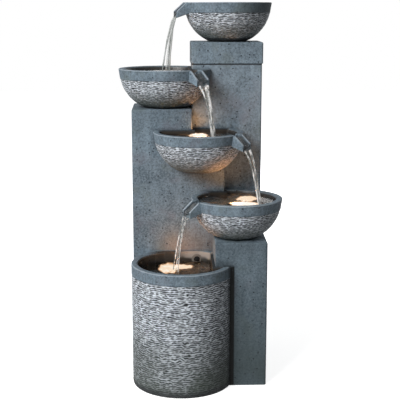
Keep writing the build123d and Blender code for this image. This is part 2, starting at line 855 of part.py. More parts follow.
def make_clamps():
    """Band clamp with a lug at each end of the hose."""
    clamps = []
    low = (pump_x, hose_start_y, hose_start_z + clamp_inset)
    high = (top_bowl_x, top_bowl_y, hose_end_z - clamp_width - clamp_inset)
    for x, y, z in (low, high):
        band = rod(hose_radius + clamp_wall, (x, y, z), (x, y, z + clamp_width))
        outer = x + hose_radius + clamp_lug
        band += block(x, outer, y - clamp_lug / 2, y + clamp_lug / 2, z, z + clamp_width)
        clamps.append(band - rod(hose_radius + fit_gap, (x, y, z), (x, y, z + clamp_width)))
    return clamps


def make_inlet_fitting():
    """Flanged stem through the top bowl's floor and the cap, with a nozzle above and a hose tail below."""
    floor = cap_top + bowl_floor + gasket
    at = top_bowl_x, top_bowl_y
    body = rod(fitting_stem_radius, (*at, fitting_foot), (*at, floor))
    body += rod(fitting_flange_radius, (*at, floor), (*at, floor + fitting_flange))
    body += rod(nozzle_radius, (*at, floor), (*at, floor + fitting_flange + nozzle_height))
    tail = fitting_foot - fitting_tail
    body += rod(hose_radius - hose_wall - fit_gap, (*at, tail), (*at, fitting_foot))
    return body - rod(fitting_bore, (*at, tail), (*at, floor + fitting_flange + nozzle_height))


def make_fitting_nut():
    """Nut on the stem under the cap's top."""
    at = top_bowl_x, top_bowl_y
    return hexagon(nut_across, (*at, fitting_foot), (0, 0, 1), nut_height) - rod(
        fitting_stem_radius + fit_gap, (*at, fitting_foot), (*at, fitting_foot + nut_height))


def make_fitting_gasket():
    """Rubber ring under the fitting's flange."""
    low = cap_top + bowl_floor
    return tube(fitting_flange_radius, fitting_stem_radius + fit_gap, (top_bowl_x, top_bowl_y, low),
                (top_bowl_x, top_bowl_y, low + gasket))


def make_drain_bush():
    """Flanged bush in the basin floor."""
    at = drain_x, drain_y
    top = basin_floor_top + drain_bush_flange
    bush = rod(drain_bush_radius, (*at, basin_foot_recess), (*at, basin_floor_top))
    bush += rod(drain_bush_flange_radius, (*at, basin_floor_top), (*at, top))
    return bush - rod(drain_plug_radius + drain_gap, (*at, 0), (*at, top))


def make_drain_plug():
    """Rubber plug with a head and a pull ring."""
    at = drain_x, drain_y
    seat = basin_floor_top + drain_bush_flange + drain_gap
    plug = rod(drain_plug_radius, (*at, basin_foot_recess), (*at, seat))
    plug += rod(drain_head_radius, (*at, seat), (*at, seat + drain_head))
    ring = Torus(drain_ring_radius, drain_ring_wire)
    return plug + Pos(*at, seat + drain_head + drain_ring_radius) * Rot(90, 0, 0) * ring


def make_bolts():
    """Hexagon bolts that draw the columns together."""
    bolts = []
    grip = shell_wall + washer
    nut_reach = grip + bolt_head + bolt_end
    for z in side_bolt_levels:
        head = (left_column_right - grip, side_bolt_y, z)
        bolts.append(rod(bolt_radius, head, (left_column_right + nut_reach, side_bolt_y, z))
                     + hexagon(bolt_head_across, head, (-1, 0, 0), bolt_head))
    for z in front_bolt_levels:
        head = (front_bolt_x, tall_column_front - grip, z)
        bolts.append(rod(bolt_radius, head, (front_bolt_x, tall_column_front + nut_reach, z))
                     + hexagon(bolt_head_across, head, (0, -1, 0), bolt_head))
    return bolts


def make_washers():
    """Washer under each bolt head and nut."""
    rings = []
    bore = bolt_radius + fit_gap
    for s in (-1, 1):
        near, far = s * shell_wall, s * (shell_wall + washer)
        for z in side_bolt_levels:
            start = (left_column_right + near, side_bolt_y, z)
            rings.append(tube(washer_radius, bore, start, (left_column_right + far, side_bolt_y, z)))
        for z in front_bolt_levels:
            start = (front_bolt_x, tall_column_front + near, z)
            rings.append(tube(washer_radius, bore, start, (front_bolt_x, tall_column_front + far, z)))
    return rings


def make_nuts():
    """Nut on each bolt, inside the tall column."""
    nuts = []
    grip = shell_wall + washer
    for z in side_bolt_levels:
        point = (left_column_right + grip, side_bolt_y, z)
        nuts.append(hexagon(bolt_head_across, point, (1, 0, 0), bolt_head))
    for z in front_bolt_levels:
        point = (front_bolt_x, tall_column_front + grip, z)
        nuts.append(hexagon(bolt_head_across, point, (0, 1, 0), bolt_head))
    shanks = side_bolts(bolt_radius + fit_gap, left_column_right, left_column_right + 4 * shell_wall)
    shanks += front_bolts(bolt_radius + fit_gap, tall_column_front, tall_column_front + 4 * shell_wall)
    return [nut - shanks for nut in nuts]


tall_top = (tall_plan, tall_column_top)
left_top = (left_plan, left_column_top)
wing_full = (wing_plan, wing_top)
left_bowl_level = left_column_top
right_bowl_level = right_column_top
lamp_places = {
    "left": (left_bowl_x, left_bowl_y, left_bowl_level + bowl_floor),
    "middle": (middle_bowl_x + middle_lamp_offset[0], middle_bowl_y + middle_lamp_offset[1],
               wing_top + bowl_floor),
    "right": (right_bowl_x, right_bowl_y, right_bowl_level + bowl_floor),
    "basin": (basin_x + basin_lamp_offset[0], basin_y + basin_lamp_offset[1], basin_floor_top),
}


def lamp_screw_holes(name):
    """Pilot holes of one lamp's screws."""
    lines = lamp_screw_lines(*lamp_places[name])
    return [rod(lamp_screw_radius + fit_gap, start, end) for start, end in lines]


def make_lamp_screws():
    """Pan-head screws of all the lamps."""
    screws = []
    for place in lamp_places.values():
        for start, end in lamp_screw_lines(*place):
            x, y, z = end
            screws.append(rod(lamp_screw_radius, start, end)
                          + rod(lamp_screw_head_radius, end, (x, y, z + lamp_screw_head)))
    return screws


keep("left_column", make_left_column())
keep("tall_column", make_tall_column())
keep("column_back", make_column_back())
keep("column_cap", make_cap())
keep("right_column", make_right_column())
keep("basin", make_basin() - lamp_screw_holes("basin"))
top_bowl = make_bowl(top_bowl_x, top_bowl_y, cap_top, bowl_radius, bowl_base_radius, top_lip_angle)
stem_hole = rod(fitting_stem_radius + fitting_hole_gap, (top_bowl_x, top_bowl_y, cap_top),
                (top_bowl_x, top_bowl_y, cap_top + bowl_floor))
keep("top_bowl", top_bowl - stem_hole)
left_bowl = make_bowl(left_bowl_x, left_bowl_y, left_bowl_level, wide_bowl_radius, wide_bowl_base_radius,
                      left_lip_angle, [tall_top])
keep("left_bowl", left_bowl - lamp_screw_holes("left"))
middle_bowl = make_bowl(middle_bowl_x, middle_bowl_y, wing_top, bowl_radius, bowl_base_radius,
                        middle_lip_angle, [tall_top, left_top])
keep("middle_bowl", middle_bowl - lamp_screw_holes("middle"))
right_bowl = make_bowl(right_bowl_x, right_bowl_y, right_bowl_level, bowl_radius, bowl_base_radius,
                       right_lip_angle, [wing_full])
keep("right_bowl", right_bowl - lamp_screw_holes("right"))
for lamp_name, lamp_place in lamp_places.items():
    make_lamp(lamp_name, *lamp_place)
keep("lamp_screws", *make_lamp_screws())
keep("port_grommet", make_port_grommet())
keep("hose_grommet", make_hose_grommet())
keep("service_door", make_door())
keep("hinge_brackets", *make_hinge_brackets())
keep("hinge_pins", *make_hinge_pins())
keep("hinge_screws", *make_wall_screws())
keep("door_pull", make_door_pull())
keep("catch_magnet", make_catch_magnet())
keep("strike_plate", make_strike_plate())
keep("cord_gland", make_cord_gland())
keep("pump_housing", make_pump_housing())
keep("pump_volute", make_volute())
keep("pump_impeller", make_impeller())
keep("pump_shaft", make_shaft())
keep("shaft_bush", make_rear_bush())
keep("flow_dial", make_flow_dial())
keep("intake_grille", make_intake_grille())
keep("suction_feet", *make_suction_feet())
keep("pump_screws", *pump_screws(pump_screw_radius))
keep("riser_hose", make_hose())
keep("hose_clamps", *make_clamps())
keep("inlet_fitting", make_inlet_fitting())
keep("fitting_nut", make_fitting_nut())
keep("fitting_gasket", make_fitting_gasket())
keep("drain_bush", make_drain_bush())
keep("drain_plug", make_drain_plug())
keep("column_bolts", *make_bolts())
keep("bolt_washers", *make_washers())
keep("bolt_nuts", *make_nuts())
keep("cap_dowels", *dowels(dowel_radius))

for name, shape in nodes.items():
    export_step(shape, f"parts/{name}.step")
print(len(nodes), "nodes, moved by", tuple(round(v, 3) for v in (-middle_x, -middle_y)))
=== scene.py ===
# %% [markdown]
# # A garden fountain in cast stone
# Four bowls stand on hollow columns, each one lower than the last, and the water falls from lip to lip into a
# round basin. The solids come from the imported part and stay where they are. This lesson gives them stone,
# plastic and metal finishes, and makes the carved vessels and the running water as new surfaces.

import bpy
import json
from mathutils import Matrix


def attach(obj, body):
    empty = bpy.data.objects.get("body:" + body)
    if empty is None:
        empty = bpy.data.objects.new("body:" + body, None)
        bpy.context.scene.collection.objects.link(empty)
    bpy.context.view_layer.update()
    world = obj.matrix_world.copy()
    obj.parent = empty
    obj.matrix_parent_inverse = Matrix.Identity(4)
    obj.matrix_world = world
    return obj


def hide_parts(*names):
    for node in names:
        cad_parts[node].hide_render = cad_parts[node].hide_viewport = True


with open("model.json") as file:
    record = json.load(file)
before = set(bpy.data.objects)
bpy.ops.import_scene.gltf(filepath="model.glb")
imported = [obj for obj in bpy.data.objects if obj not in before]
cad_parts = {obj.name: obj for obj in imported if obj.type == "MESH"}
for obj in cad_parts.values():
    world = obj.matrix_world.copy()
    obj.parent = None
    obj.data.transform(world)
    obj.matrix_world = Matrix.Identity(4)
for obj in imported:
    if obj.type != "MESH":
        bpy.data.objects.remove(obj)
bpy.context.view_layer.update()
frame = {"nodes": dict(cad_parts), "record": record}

# %% [markdown]
# ## The camera
# The viewpoint was worked out from straight edges of the columns and the ellipses of the rims: a long lens about
# as high as the top bowl, tilted down. Lengths in this lesson are written in millimetres and scaled to metres.

# %% Camera at the viewing angle
import json
import math

import bpy
import numpy as np

MM = 0.001
EYE = (-79.45 * MM, -2465.24 * MM, 978.13 * MM)
PITCH = math.radians(11.57)
YAW = math.radians(1.90)
LENS = 83.3
SENSOR = 36.0
scene = bpy.context.scene
camera = bpy.data.objects.new("camera", bpy.data.cameras.new("camera"))
camera.data.lens = LENS
camera.data.sensor_width = SENSOR
camera.location = EYE
camera.rotation_euler = (math.pi / 2 - PITCH, 0.0, -YAW)
scene.collection.objects.link(camera)
scene.camera = camera
print("camera lens", camera.data.lens)

# %% [markdown]
# ## Meshes from whole arrays
# Every new piece is a grid of points worked out with numpy. A grid that runs round an upright axis becomes a
# closed skin: neighbouring rings are joined with quads and the two ends close on single points, so that there
# is no seam and no hole at the poles.

# %% Helpers that turn grids into objects
BODY = "fountain"


def add_object(name, points, faces, smooth=True):
    """Object at the origin whose mesh holds the given points and faces."""
    mesh = bpy.data.meshes.new(name)
    mesh.from_pydata(points.tolist(), [], faces)
    mesh.polygons.foreach_set("use_smooth", np.full(len(mesh.polygons), smooth))
    mesh.update()
    piece = bpy.data.objects.new(name, mesh)
    scene.collection.objects.link(piece)
    return piece


def skin_faces(count, around, first=0):
    """Faces of a closed skin: quads between neighbouring rings, and a fan of triangles at each end.

    Corner k of ring i joins corner k + 1 of ring i and both of ring i + 1. The two end points follow the rings.
    """
    index = first + np.arange(count * around).reshape(count, around)
    beside = np.roll(index, -1, axis=1)
    end = np.full(around, first + count * around)
    quads = np.stack([index[:-1], beside[:-1], beside[1:], index[1:]], -1).reshape(-1, 4)
    foot = np.stack([end, beside[0], index[0]], -1)
    head = np.stack([end + 1, index[-1], beside[-1]], -1)
    return quads.tolist() + foot.tolist() + head.tolist()


def closed_skin(name, rings, start, end):
    """Closed object over rings of points (ring, angle, xyz) and the points that close its two ends."""
    points = np.concatenate([rings.reshape(-1, 3), [start], [end]])
    return add_object(name, points, skin_faces(*rings.shape[:2]))


def paint(piece, name, values, ends=(0.0, 0.0)):
    """Stores one number per point on a closed skin, as an attribute that its material reads."""
    data = np.concatenate([np.ravel(values), ends]).astype(np.float32)
    piece.data.attributes.new(name, "FLOAT", "POINT").data.foreach_set("value", data)


def ease(low, high, x):
    """Smooth step: 0 below low, 1 above high, and a cubic in between."""
    t = np.clip((x - low) / (high - low), 0.0, 1.0)
    return t * t * (3.0 - 2.0 * t)


print("helpers ready")

# %% [markdown]
# ## Random fields
# Stone needs randomness that is the same in every run. A lattice of hashed numbers, blended with cubic weights,
# gives a smooth field in space. Because it is read at the points' own places, it has no seam round a vessel.

# %% Lattice noise
def grain(points, size, seed=0):
    """Field from 0 to 1: hashed numbers on a lattice with the given cell size, blended with cubic weights."""
    place = points / size + 31.7 * seed
    cell = np.floor(place).astype(np.int64)
    part = place - cell
    part = part * part * (3.0 - 2.0 * part)
    total = np.zeros(points.shape[:-1])
    for corner in np.ndindex(2, 2, 2):
        key = cell + np.array(corner)
        mixed = key[..., 0] * 73856093 ^ key[..., 1] * 19349663 ^ key[..., 2] * 83492791
        mixed = (mixed ^ (mixed >> 13)) * 1274126177 & 0x7FFFFFFF
        mixed = (mixed ^ (mixed >> 15)) & 0xFFFF
        weight = np.where(np.array(corner, bool), part, 1.0 - part).prod(-1)
        total += weight * mixed / 65535.0
    return total


def split_face(points, along, row, dash):
    """Relief of split stone, from 0 in the gaps to 1 on the ridges.

    Rows follow the distance along the wall, bent by two fields so that they wave and pinch. Between two rows lies
    a thin gap, and a field read at the gap's own number closes it here and there, which leaves dashes that grow
    with the dash length. Another field gives each stretch of ridge its own height, and its crest stands out.
    """
    flat = points[..., :2] / (dash * MM)

    def stretch(number, spacing, seed):
        return grain(np.concatenate([flat, spacing * number[..., None]], -1), 1.0, seed)

    bend = 5.6 * (grain(points, 15 * MM, 1) - 0.5) + 3.2 * (grain(points, 6 * MM, 2) - 0.5)
    place = (along / MM + bend) / row
    seam = np.round(place)
    number = np.floor(place)
    cleft = ease(0.26, 0.56, stretch(seam, 3.71, 4))
    gap = np.exp(-((place - seam) / 0.25) ** 2) * (0.12 + 0.88 * cleft)
    ridge = 0.66 + 0.34 * ease(0.25, 0.75, stretch(number, 5.37, 3))
    crest = np.exp(-((place - number - 0.5) / 0.24) ** 2)
    return ridge * (0.72 + 0.28 * crest) * (1.0 - 0.95 * gap)


print("field from", round(float(grain(np.random.default_rng(1).random((999, 3)), 0.1).min()), 3))

# %% [markdown]
# ## Shader maths as Python
# A finish is a tree of nodes. Wrapping a socket in a small class lets the tree be written as arithmetic:
# `1 - pits` adds a Math node, and one method adds any other node with its settings and its inputs.

# %% The wrapped socket
class Wire:
    """One output socket of a material's tree, with operators that add Math nodes."""

    def __init__(self, tree, socket=None):
        self.tree = tree
        self.socket = socket

    def node(self, kind, settings=None, values=None, out=0):
        """Adds a node: its settings first, then values or wires for its inputs; returns one of its outputs."""
        made = self.tree.nodes.new(kind)
        for key, value in (settings or {}).items():
            setattr(made, key, value)
        for key, value in (values or {}).items():
            if isinstance(value, Wire):
                self.tree.links.new(value.socket, made.inputs[key])
            else:
                made.inputs[key].default_value = value
        return Wire(self.tree, made.outputs[out])

    def math(self, operation, *values):
        """Math node on the given values, in order."""
        return self.node("ShaderNodeMath", {"operation": operation}, dict(enumerate(values)))

    def __add__(self, other):
        return self.math("ADD", self, other)

    def __sub__(self, other):
        return self.math("SUBTRACT", self, other)

    def __rsub__(self, other):
        return self.math("SUBTRACT", other, self)

    def __mul__(self, other):
        return self.math("MULTIPLY", self, other)

    __radd__ = __add__
    __rmul__ = __mul__

    def step(self, low, high):
        """Smooth step of this value, from 0 at low to 1 at high."""
        return self.node("ShaderNodeMapRange", {"interpolation_type": "SMOOTHSTEP"},
                         {"Value": self, "From Min": low, "From Max": high})

    def fade(self, low, high):
        """The step turned round: 1 up to low, 0 from high on."""
        return 1.0 - self.step(low, high)

    def between(self, first, second):
        """Colour that goes from the first to the second as this value goes from 0 to 1."""
        return self.node("ShaderNodeMix", {"data_type": "RGBA"}, {0: self, 6: first, 7: second}, out=2)

    def axes(self):
        """The three parts of this vector."""
        return [self.node("ShaderNodeSeparateXYZ", {}, {"Vector": self}, out=k) for k in range(3)]


# %% Helpers for finishes
def finish(name):
    """New material with a Principled shader; returns the material, a wire on its tree and the shader's node."""
    material = bpy.data.materials.new(name)
    material.use_nodes = True
    tree = material.node_tree
    return material, Wire(tree), tree.nodes["Principled BSDF"]


def feed(shader, **values):
    """Sets or links the shader's inputs; underscores in a name stand for spaces."""
    for key, value in values.items():
        socket = shader.inputs[key.replace("_", " ")]
        if isinstance(value, Wire):
            value.tree.links.new(value.socket, socket)
        else:
            socket.default_value = value


def own_place(wire):
    """Object coordinates: where a point is in the fountain's frame, in metres."""
    return wire.node("ShaderNodeTexCoord", out=3)


def scaled(wire, place, scale):
    """Coordinates with a factor for each axis, which draws a pattern out along the smallest one."""
    return wire.node("ShaderNodeMapping", {}, {"Vector": place, "Scale": scale})


def noise(wire, place, scale, detail=2.0, roughness=0.5):
    """Noise texture on the given coordinates, about 0 to 1."""
    return wire.node("ShaderNodeTexNoise", {}, {"Vector": place, "Scale": scale, "Detail": detail,
                                                "Roughness": roughness})


def voronoi(wire, place, scale, out=0):
    """Voronoi cells: the distance to the nearest cell's point, or with out 1 the cell's own colour."""
    return wire.node("ShaderNodeTexVoronoi", {"feature": "F1"}, {"Vector": place, "Scale": scale}, out=out)


def bumped(wire, height, distance):
    """Normal of a height field; distance is the height in metres where the field is 1."""
    return wire.node("ShaderNodeBump", {}, {"Height": height, "Distance": distance, "Strength": 1.0})


def rgb(r, g, b):
    """Opaque colour from three linear values."""
    return (r, g, b, 1.0)


print("shader helpers ready")

# %% [markdown]
# ## Where things stand
# The columns are boxes in plan, and the bowls stand among them. SHIFT moves the plan that they are written in to
# the middle of the part. Each bowl has the middle of its turned wall, a pole from which the whole wall can be
# seen, the height it stands on, the radii of rim and foot, the direction of its lip, and the columns that cut it.

# %% Columns and bowls in plan
SHIFT = np.array([-2.0, 11.25])
LEFT_COLUMN = ((-179.0, 0.0), (-16.0, 175.0))
TALL_COLUMN = ((-16.0, 37.5), (174.0, 175.0))
WING = ((-16.0, 0.0), (71.0, 37.5))
SLAB = ((-179.0, 0.0), (71.0, 175.0))
RIGHT_COLUMN = ((39.0, -163.5), (175.0, 37.5))
BOWL_HEIGHT = 105.0
BAND = 28.0
bowls = {
    "top": dict(centre=(84.0, 106.0), pole=(84.0, 106.0), base=895.0, radius=120.5, foot=48.0,
                lip=math.radians(192.0), blocks=()),
    "left": dict(centre=(-87.0, 74.0), pole=(-87.0, 29.0), base=719.0, radius=128.5, foot=58.0,
                 lip=math.radians(-50.5), blocks=(TALL_COLUMN,)),
    "middle": dict(centre=(-0.5, -32.0), pole=(-0.5, -32.0), base=558.0, radius=120.5, foot=48.0,
                   lip=math.radians(-33.0), blocks=(TALL_COLUMN, LEFT_COLUMN)),
    "right": dict(centre=(99.0, -85.0), pole=(99.0, -85.0), base=390.0, radius=120.5, foot=48.0,
                  lip=math.radians(204.0), blocks=(WING,)),
}
for key, bowl in bowls.items():
    print(key, "bowl stands at", bowl["centre"], "on", bowl["base"])

# %% [markdown]
# ## Cast stone
# The columns are cast in a blue-grey mix. Air bubbles leave small dark pits, the mix dries in soft lighter and
# darker clouds with faint runs, and the foot gathers a greenish dirt. The right column's front is painted darker,
# most towards the bottom. Painted shade lies beside the bowls, above the drum's rim and under the bowls, and the
# drum's shadow on the right column and the shadow under the cap are painted nearly black. Pits come from a
# Voronoi pattern: only some cells hold one, and the distance to the cell's point makes it round.

# %% Stone colours and pits
SLATE_DARK = rgb(0.046, 0.068, 0.087)
SLATE_LIGHT = rgb(0.312, 0.404, 0.478)
SLATE_GREEN = rgb(0.150, 0.188, 0.182)
SLATE_PLUM = rgb(0.190, 0.190, 0.228)
SLATE_PALE = rgb(0.46, 0.52, 0.58)
# Dark of the pits, also used for painted shade.
PIT_AND_SHADE_DARK = rgb(0.022, 0.026, 0.030)
MOSS = rgb(0.055, 0.070, 0.055)
# Colour that the right column's front is painted darker with.
RIGHT_FRONT_DARK = rgb(0.060, 0.080, 0.086)
STAIN_BROWN = rgb(0.170, 0.128, 0.098)
# Nearly black of the painted shadows.
SHADOW_BLACK = rgb(0.004, 0.005, 0.005)


def pitted(wire, place, scale, share, radius):
    """Round pits: 1 inside a pit, 0 outside; share of the Voronoi cells hold one."""
    cells = voronoi(wire, place, scale)
    chosen = wire.node("ShaderNodeSeparateColor", {}, {"Color": voronoi(wire, place, scale, out=1)})
    held = wire.math("LESS_THAN", chosen, share)
    return held * cells.fade(0.55 * radius, radius)


def stone_field(wire):
    """Colour, pit mask and fine grain that the columns and the smooth bands share."""
    place = own_place(wire)
    clouds = noise(wire, place, 7.0, 5.0, 0.62)
    blotches = noise(wire, place, 34.0, 4.0, 0.6)
    flecks = noise(wire, place, 170.0, 3.0, 0.7)
    specks = noise(wire, place, 420.0, 2.0, 0.6)
    runs = noise(wire, scaled(wire, place, (52.0, 52.0, 8.0)), 1.0, 3.0, 0.55)
    tone = clouds.step(0.30, 0.72) * 0.20 + blotches.step(0.3, 0.7) * 0.16 + runs.step(0.3, 0.7) * 0.16
    tone = tone + flecks.step(0.36, 0.64) * 0.34 + specks.step(0.25, 0.75) * 0.14
    colour = tone.between(SLATE_DARK, SLATE_LIGHT)
    tint = noise(wire, place, 13.0, 3.0)
    colour = (tint.step(0.54, 0.70) * 0.45).between(colour, SLATE_GREEN)
    colour = ((1.0 - tint).step(0.54, 0.70) * 0.40).between(colour, SLATE_PLUM)
    pits = pitted(wire, place, 88.0, 0.30, 0.22) + pitted(wire, place, 210.0, 0.22, 0.30) * 0.7
    return place, colour, pits, specks, clouds


# %% Cast stone finish
NECK_IN = 5.5
SHADE_REACH = 20.0


def shade_beside_bowl(wire, place, bowl):
    """Painted shade beside a bowl: 1 at its wall, whose radius grows with height as a rounded power, 0 some way
    off.
    """
    foot_place = [float(v) * MM for v in (*(bowl["centre"] + SHIFT), bowl["base"])]
    spot = wire.node("ShaderNodeVectorMath", {"operation": "SUBTRACT"}, {0: place, 1: foot_place})
    x, y, z = spot.axes()
    rise = wire.node("ShaderNodeMapRange", {}, {"Value": z, "From Min": 0.0,
                                                "From Max": (BOWL_HEIGHT - BAND) * MM})
    spread = bowl["radius"] - NECK_IN - bowl["foot"]
    wall = (1.0 - wire.math("POWER", 1.0 - rise, 1.8)) * (spread * MM) + bowl["foot"] * MM
    gap = wire.math("SQRT", x * x + y * y) - wall
    return (gap.fade(0.0, SHADE_REACH * MM) * z.step(-16.0 * MM, 2.0 * MM)
            * z.fade(100.0 * MM, 116.0 * MM))


def make_cast_stone():
    """Stone of the columns, with the dirt, stains and painted shade of each part of them; places are in metres."""
    material, wire, shader = finish("cast_stone_finish")
    place, colour, pits, specks, clouds = stone_field(wire)
    aside, depth, height = place.axes()
    # Dirt gathers at the foot, and the right column's front is painted darker, most towards the bottom.
    damp = height.fade(0.0, 0.30) * clouds.step(0.30, 0.70) * 0.75
    colour = damp.between(colour, MOSS)
    front = depth.fade(-0.150, -0.140) * aside.step(0.030, 0.040)
    colour = (front * (0.62 - height.step(0.0, 0.40) * 0.26)).between(colour, RIGHT_FRONT_DARK)
    # Painted shade beside each bowl, above the drum's rim beside it, and on the column tops under the bowls.
    for bowl in bowls.values():
        colour = (shade_beside_bowl(wire, place, bowl) * 0.62).between(colour, PIT_AND_SHADE_DARK)
    shade_above_rim = front * aside.fade(0.070, 0.100) * height.fade(0.328, 0.356)
    colour = (shade_above_rim * 0.55).between(colour, PIT_AND_SHADE_DARK)
    under_bowl_shade = height.step(0.63, 0.715) * aside.fade(-0.020, -0.017) + front * height.step(0.335, 0.390) * 0.8
    colour = (under_bowl_shade * 0.20).between(colour, PIT_AND_SHADE_DARK)
    # Painted shadows, nearly black: the drum's shadow on the right column beside it, and the shadow under the cap.
    drum_shadow = front * aside.step(0.056, 0.062) * aside.fade(0.0855, 0.0885) * height.fade(0.324, 0.334)
    cap_shade = height.step(0.8335, 0.8350) * height.fade(0.8382, 0.8386)
    colour = (wire.math("MAXIMUM", drum_shadow, cap_shade) * 0.99).between(colour, SHADOW_BLACK)
    # The tall column's upper part is painted paler, less so on the cap, and the basin's water stains the wall
    # behind it.
    upper_pale = height.step(0.64, 0.72) * depth.step(0.030, 0.040) * aside.step(-0.020, -0.016)
    colour = (upper_pale * (0.12 - height.step(0.834, 0.837) * 0.06)).between(colour, SLATE_PALE)
    stain = height.fade(0.335, 0.425) * depth.step(-0.01, 0.005) * depth.fade(0.02, 0.03)
    colour = (stain * aside.step(-0.15, -0.07) * (0.25 + clouds * 0.5)).between(colour, STAIN_BROWN)
    colour = (pits * 0.85).between(colour, PIT_AND_SHADE_DARK)
    relief = specks * 0.25 + noise(wire, place, 130.0, 3.0) * 0.5 - pits
    feed(shader, Base_Color=colour, Roughness=0.62 + clouds * 0.22, Normal=bumped(wire, relief, 0.9 * MM),
         Specular_IOR_Level=0.22)
    return material


cast_stone = make_cast_stone()
print("made", cast_stone.name)

# %% [markdown]
# ## Split stone
# The bowls and the drum are carved below a plain rim band: short wavy strokes of pale stone with dark gaps
# between them. The strokes are real relief in the mesh, and the same relief is stored on its points, so that the
# colour follows it, with painted shade in the gaps, crests that are partly a painted highlight, and a painted
# shadow along the foot. Inside, where the water stands, the stone is dark and wet, and lime has dried on it in
# places.

# %% Split stone finish
# The pale crests are partly a painted highlight, and the gap colour is painted shade.
STROKE_PALE_HIGHLIGHT = rgb(0.86, 0.92, 0.99)
STROKE_MID = rgb(0.32, 0.35, 0.38)
STROKE_GAP_SHADE = rgb(0.024, 0.027, 0.029)
WET_STONE = rgb(0.043, 0.033, 0.024)
LIME_TAN = rgb(0.42, 0.38, 0.34)


def attribute(wire, name):
    """The number that a piece's points hold under this name."""
    return wire.node("ShaderNodeAttribute", {"attribute_name": name}, out=2)


def make_split_stone():
    """Stone of the bowls, lips and drum: the marks stored on the points choose between its colours, among them
    painted shade and painted highlight.
    """
    material, wire, shader = finish("split_stone_finish")
    place, colour, pits, specks, clouds = stone_field(wire)
    relief, carved, wet, low = (attribute(wire, key) for key in ("relief", "carved", "wet", "low"))
    edge, worn_highlight, lime = (attribute(wire, key) for key in ("edge", "worn_highlight", "lime"))
    colour = (pits * 0.8).between(colour, PIT_AND_SHADE_DARK)
    level = relief + (specks - 0.5) * 0.20
    # The colour follows the relief: painted shade in the gaps, the stone's mid tone, and crests that are partly a
    # painted highlight.
    strokes = level.step(0.10, 0.60).between(STROKE_GAP_SHADE, STROKE_MID)
    strokes = level.step(0.44, 0.88).between(strokes, STROKE_PALE_HIGHLIGHT)
    strokes = (low * (clouds.step(0.25, 0.60) * 0.55 + 0.38)).between(strokes, MOSS)
    # A painted shadow along the very foot.
    strokes = (low.step(0.975, 1.0) * 0.9).between(strokes, STROKE_GAP_SHADE)
    colour = carved.between(colour, strokes)
    # Pale upper edges: partly wear, partly a painted highlight.
    colour = (worn_highlight * (0.35 + specks * 0.6)).between(colour, SLATE_PALE)
    # The edge mark is painted shade where the stone meets a column, beside it, on the band to the right, on the
    # carved side near a column, and at the basin's turn and corner. On a lip it paints the channel nearly black.
    colour = (edge * 0.92).between(colour, PIT_AND_SHADE_DARK)
    colour = (wet * 0.88).between(colour, WET_STONE)
    colour = (lime * (clouds.step(0.2, 0.6) * 0.35 + 0.55)).between(colour, LIME_TAN)
    rough = (0.66 + clouds * 0.2) * (1.0 - wet * (1.0 - lime) * 0.65) + edge * 0.14
    height = specks * 0.3 + noise(wire, place, 150.0, 3.0) * 0.4 - pits * (1.0 - carved)
    feed(shader, Base_Color=colour, Roughness=rough, Normal=bumped(wire, height, 0.8 * MM),
         Specular_IOR_Level=0.35)
    return material


split_stone = make_split_stone()
print("made", split_stone.name)

# %% [markdown]
# ## A vessel as rays from a pole
# A bowl is a turned shape, but the columns behind it cut it flat. Seen from a pole inside it, each direction
# meets either the turned wall or a column, whichever is nearer, so one formula gives both. A row of samples
# follows the section: foot, carved side, rim band, rounded rim, inner wall, floor.

# %% Lines and rays
LINER = 7.0
SEAT = 0.3
RIM_WALL = 17.0


def bowed(start, end, sagitta, count):
    """Points on the arc from start to end that bows to the right of its chord by the sagitta."""
    start, end = np.array(start, float), np.array(end, float)
    chord = end - start
    length = np.hypot(*chord)
    ahead = chord / length
    aside = np.array([ahead[1], -ahead[0]])
    radius = (length ** 2 / 4 + sagitta ** 2) / (2 * sagitta)
    half = np.arcsin(length / 2 / radius)
    turn = np.linspace(-half, half, count)[:, None]
    middle = (start + end) / 2
    return middle + aside * (radius * np.cos(turn) - radius + sagitta) + ahead * radius * np.sin(turn)


def straight(start, end, count):
    """Evenly spaced points on a straight line."""
    return np.linspace(np.array(start, float), np.array(end, float), count)


def quarter(corner, radius, first, count=6):
    """Points on a quarter circle, from the first angle on by a right angle, counter-clockwise."""
    turn = first + np.linspace(0.0, np.pi / 2, count)
    return np.array(corner) + radius * np.stack([np.cos(turn), np.sin(turn)], -1)


def rays(pole, angles, centre, radius, blocks, grow):
    """Distance from the pole, along each angle, to a circle or to the nearest grown block."""
    way = np.stack([np.cos(angles), np.sin(angles)], -1)
    offset = pole - centre
    run = way @ offset
    reach = -run + np.sqrt(run * run - offset @ offset + radius ** 2)
    free = np.full(len(angles), np.inf)
    for low, high in blocks:
        with np.errstate(divide="ignore"):
            enter = (np.array(low) - grow - pole) / way
            leave = (np.array(high) + grow - pole) / way
        near = np.minimum(enter, leave).max(-1)
        far = np.maximum(enter, leave).min(-1)
        free = np.where((near < far) & (near > 0), np.minimum(free, near), free)
    return np.minimum(reach, free), free - reach


# %% Sections
BOWL_FLOOR = 14.0


def part(points, share=1.0, grow=SEAT, carved=0.0, wet=0.0):
    """Part of a section: its points, the share of the ray they stand at, the growth of the blocks, its marks."""
    return points, share, grow, carved, wet


def section(parts):
    """Joins section parts into arrays, and adds the outward normal and the distance along the section."""
    points = np.concatenate([p[0] for p in parts])
    spread = [np.concatenate([np.broadcast_to(p[k], len(p[0])) for p in parts]) for k in range(1, 5)]
    tangent = np.gradient(points, axis=0)
    normal = np.stack([tangent[:, 1], -tangent[:, 0]], -1)
    normal /= np.maximum(np.hypot(normal[:, 0], normal[:, 1]), 1e-9)[:, None]
    along = np.concatenate([[0.0], np.cumsum(np.hypot(*np.diff(points, axis=0).T))])
    return points, normal, along, *spread


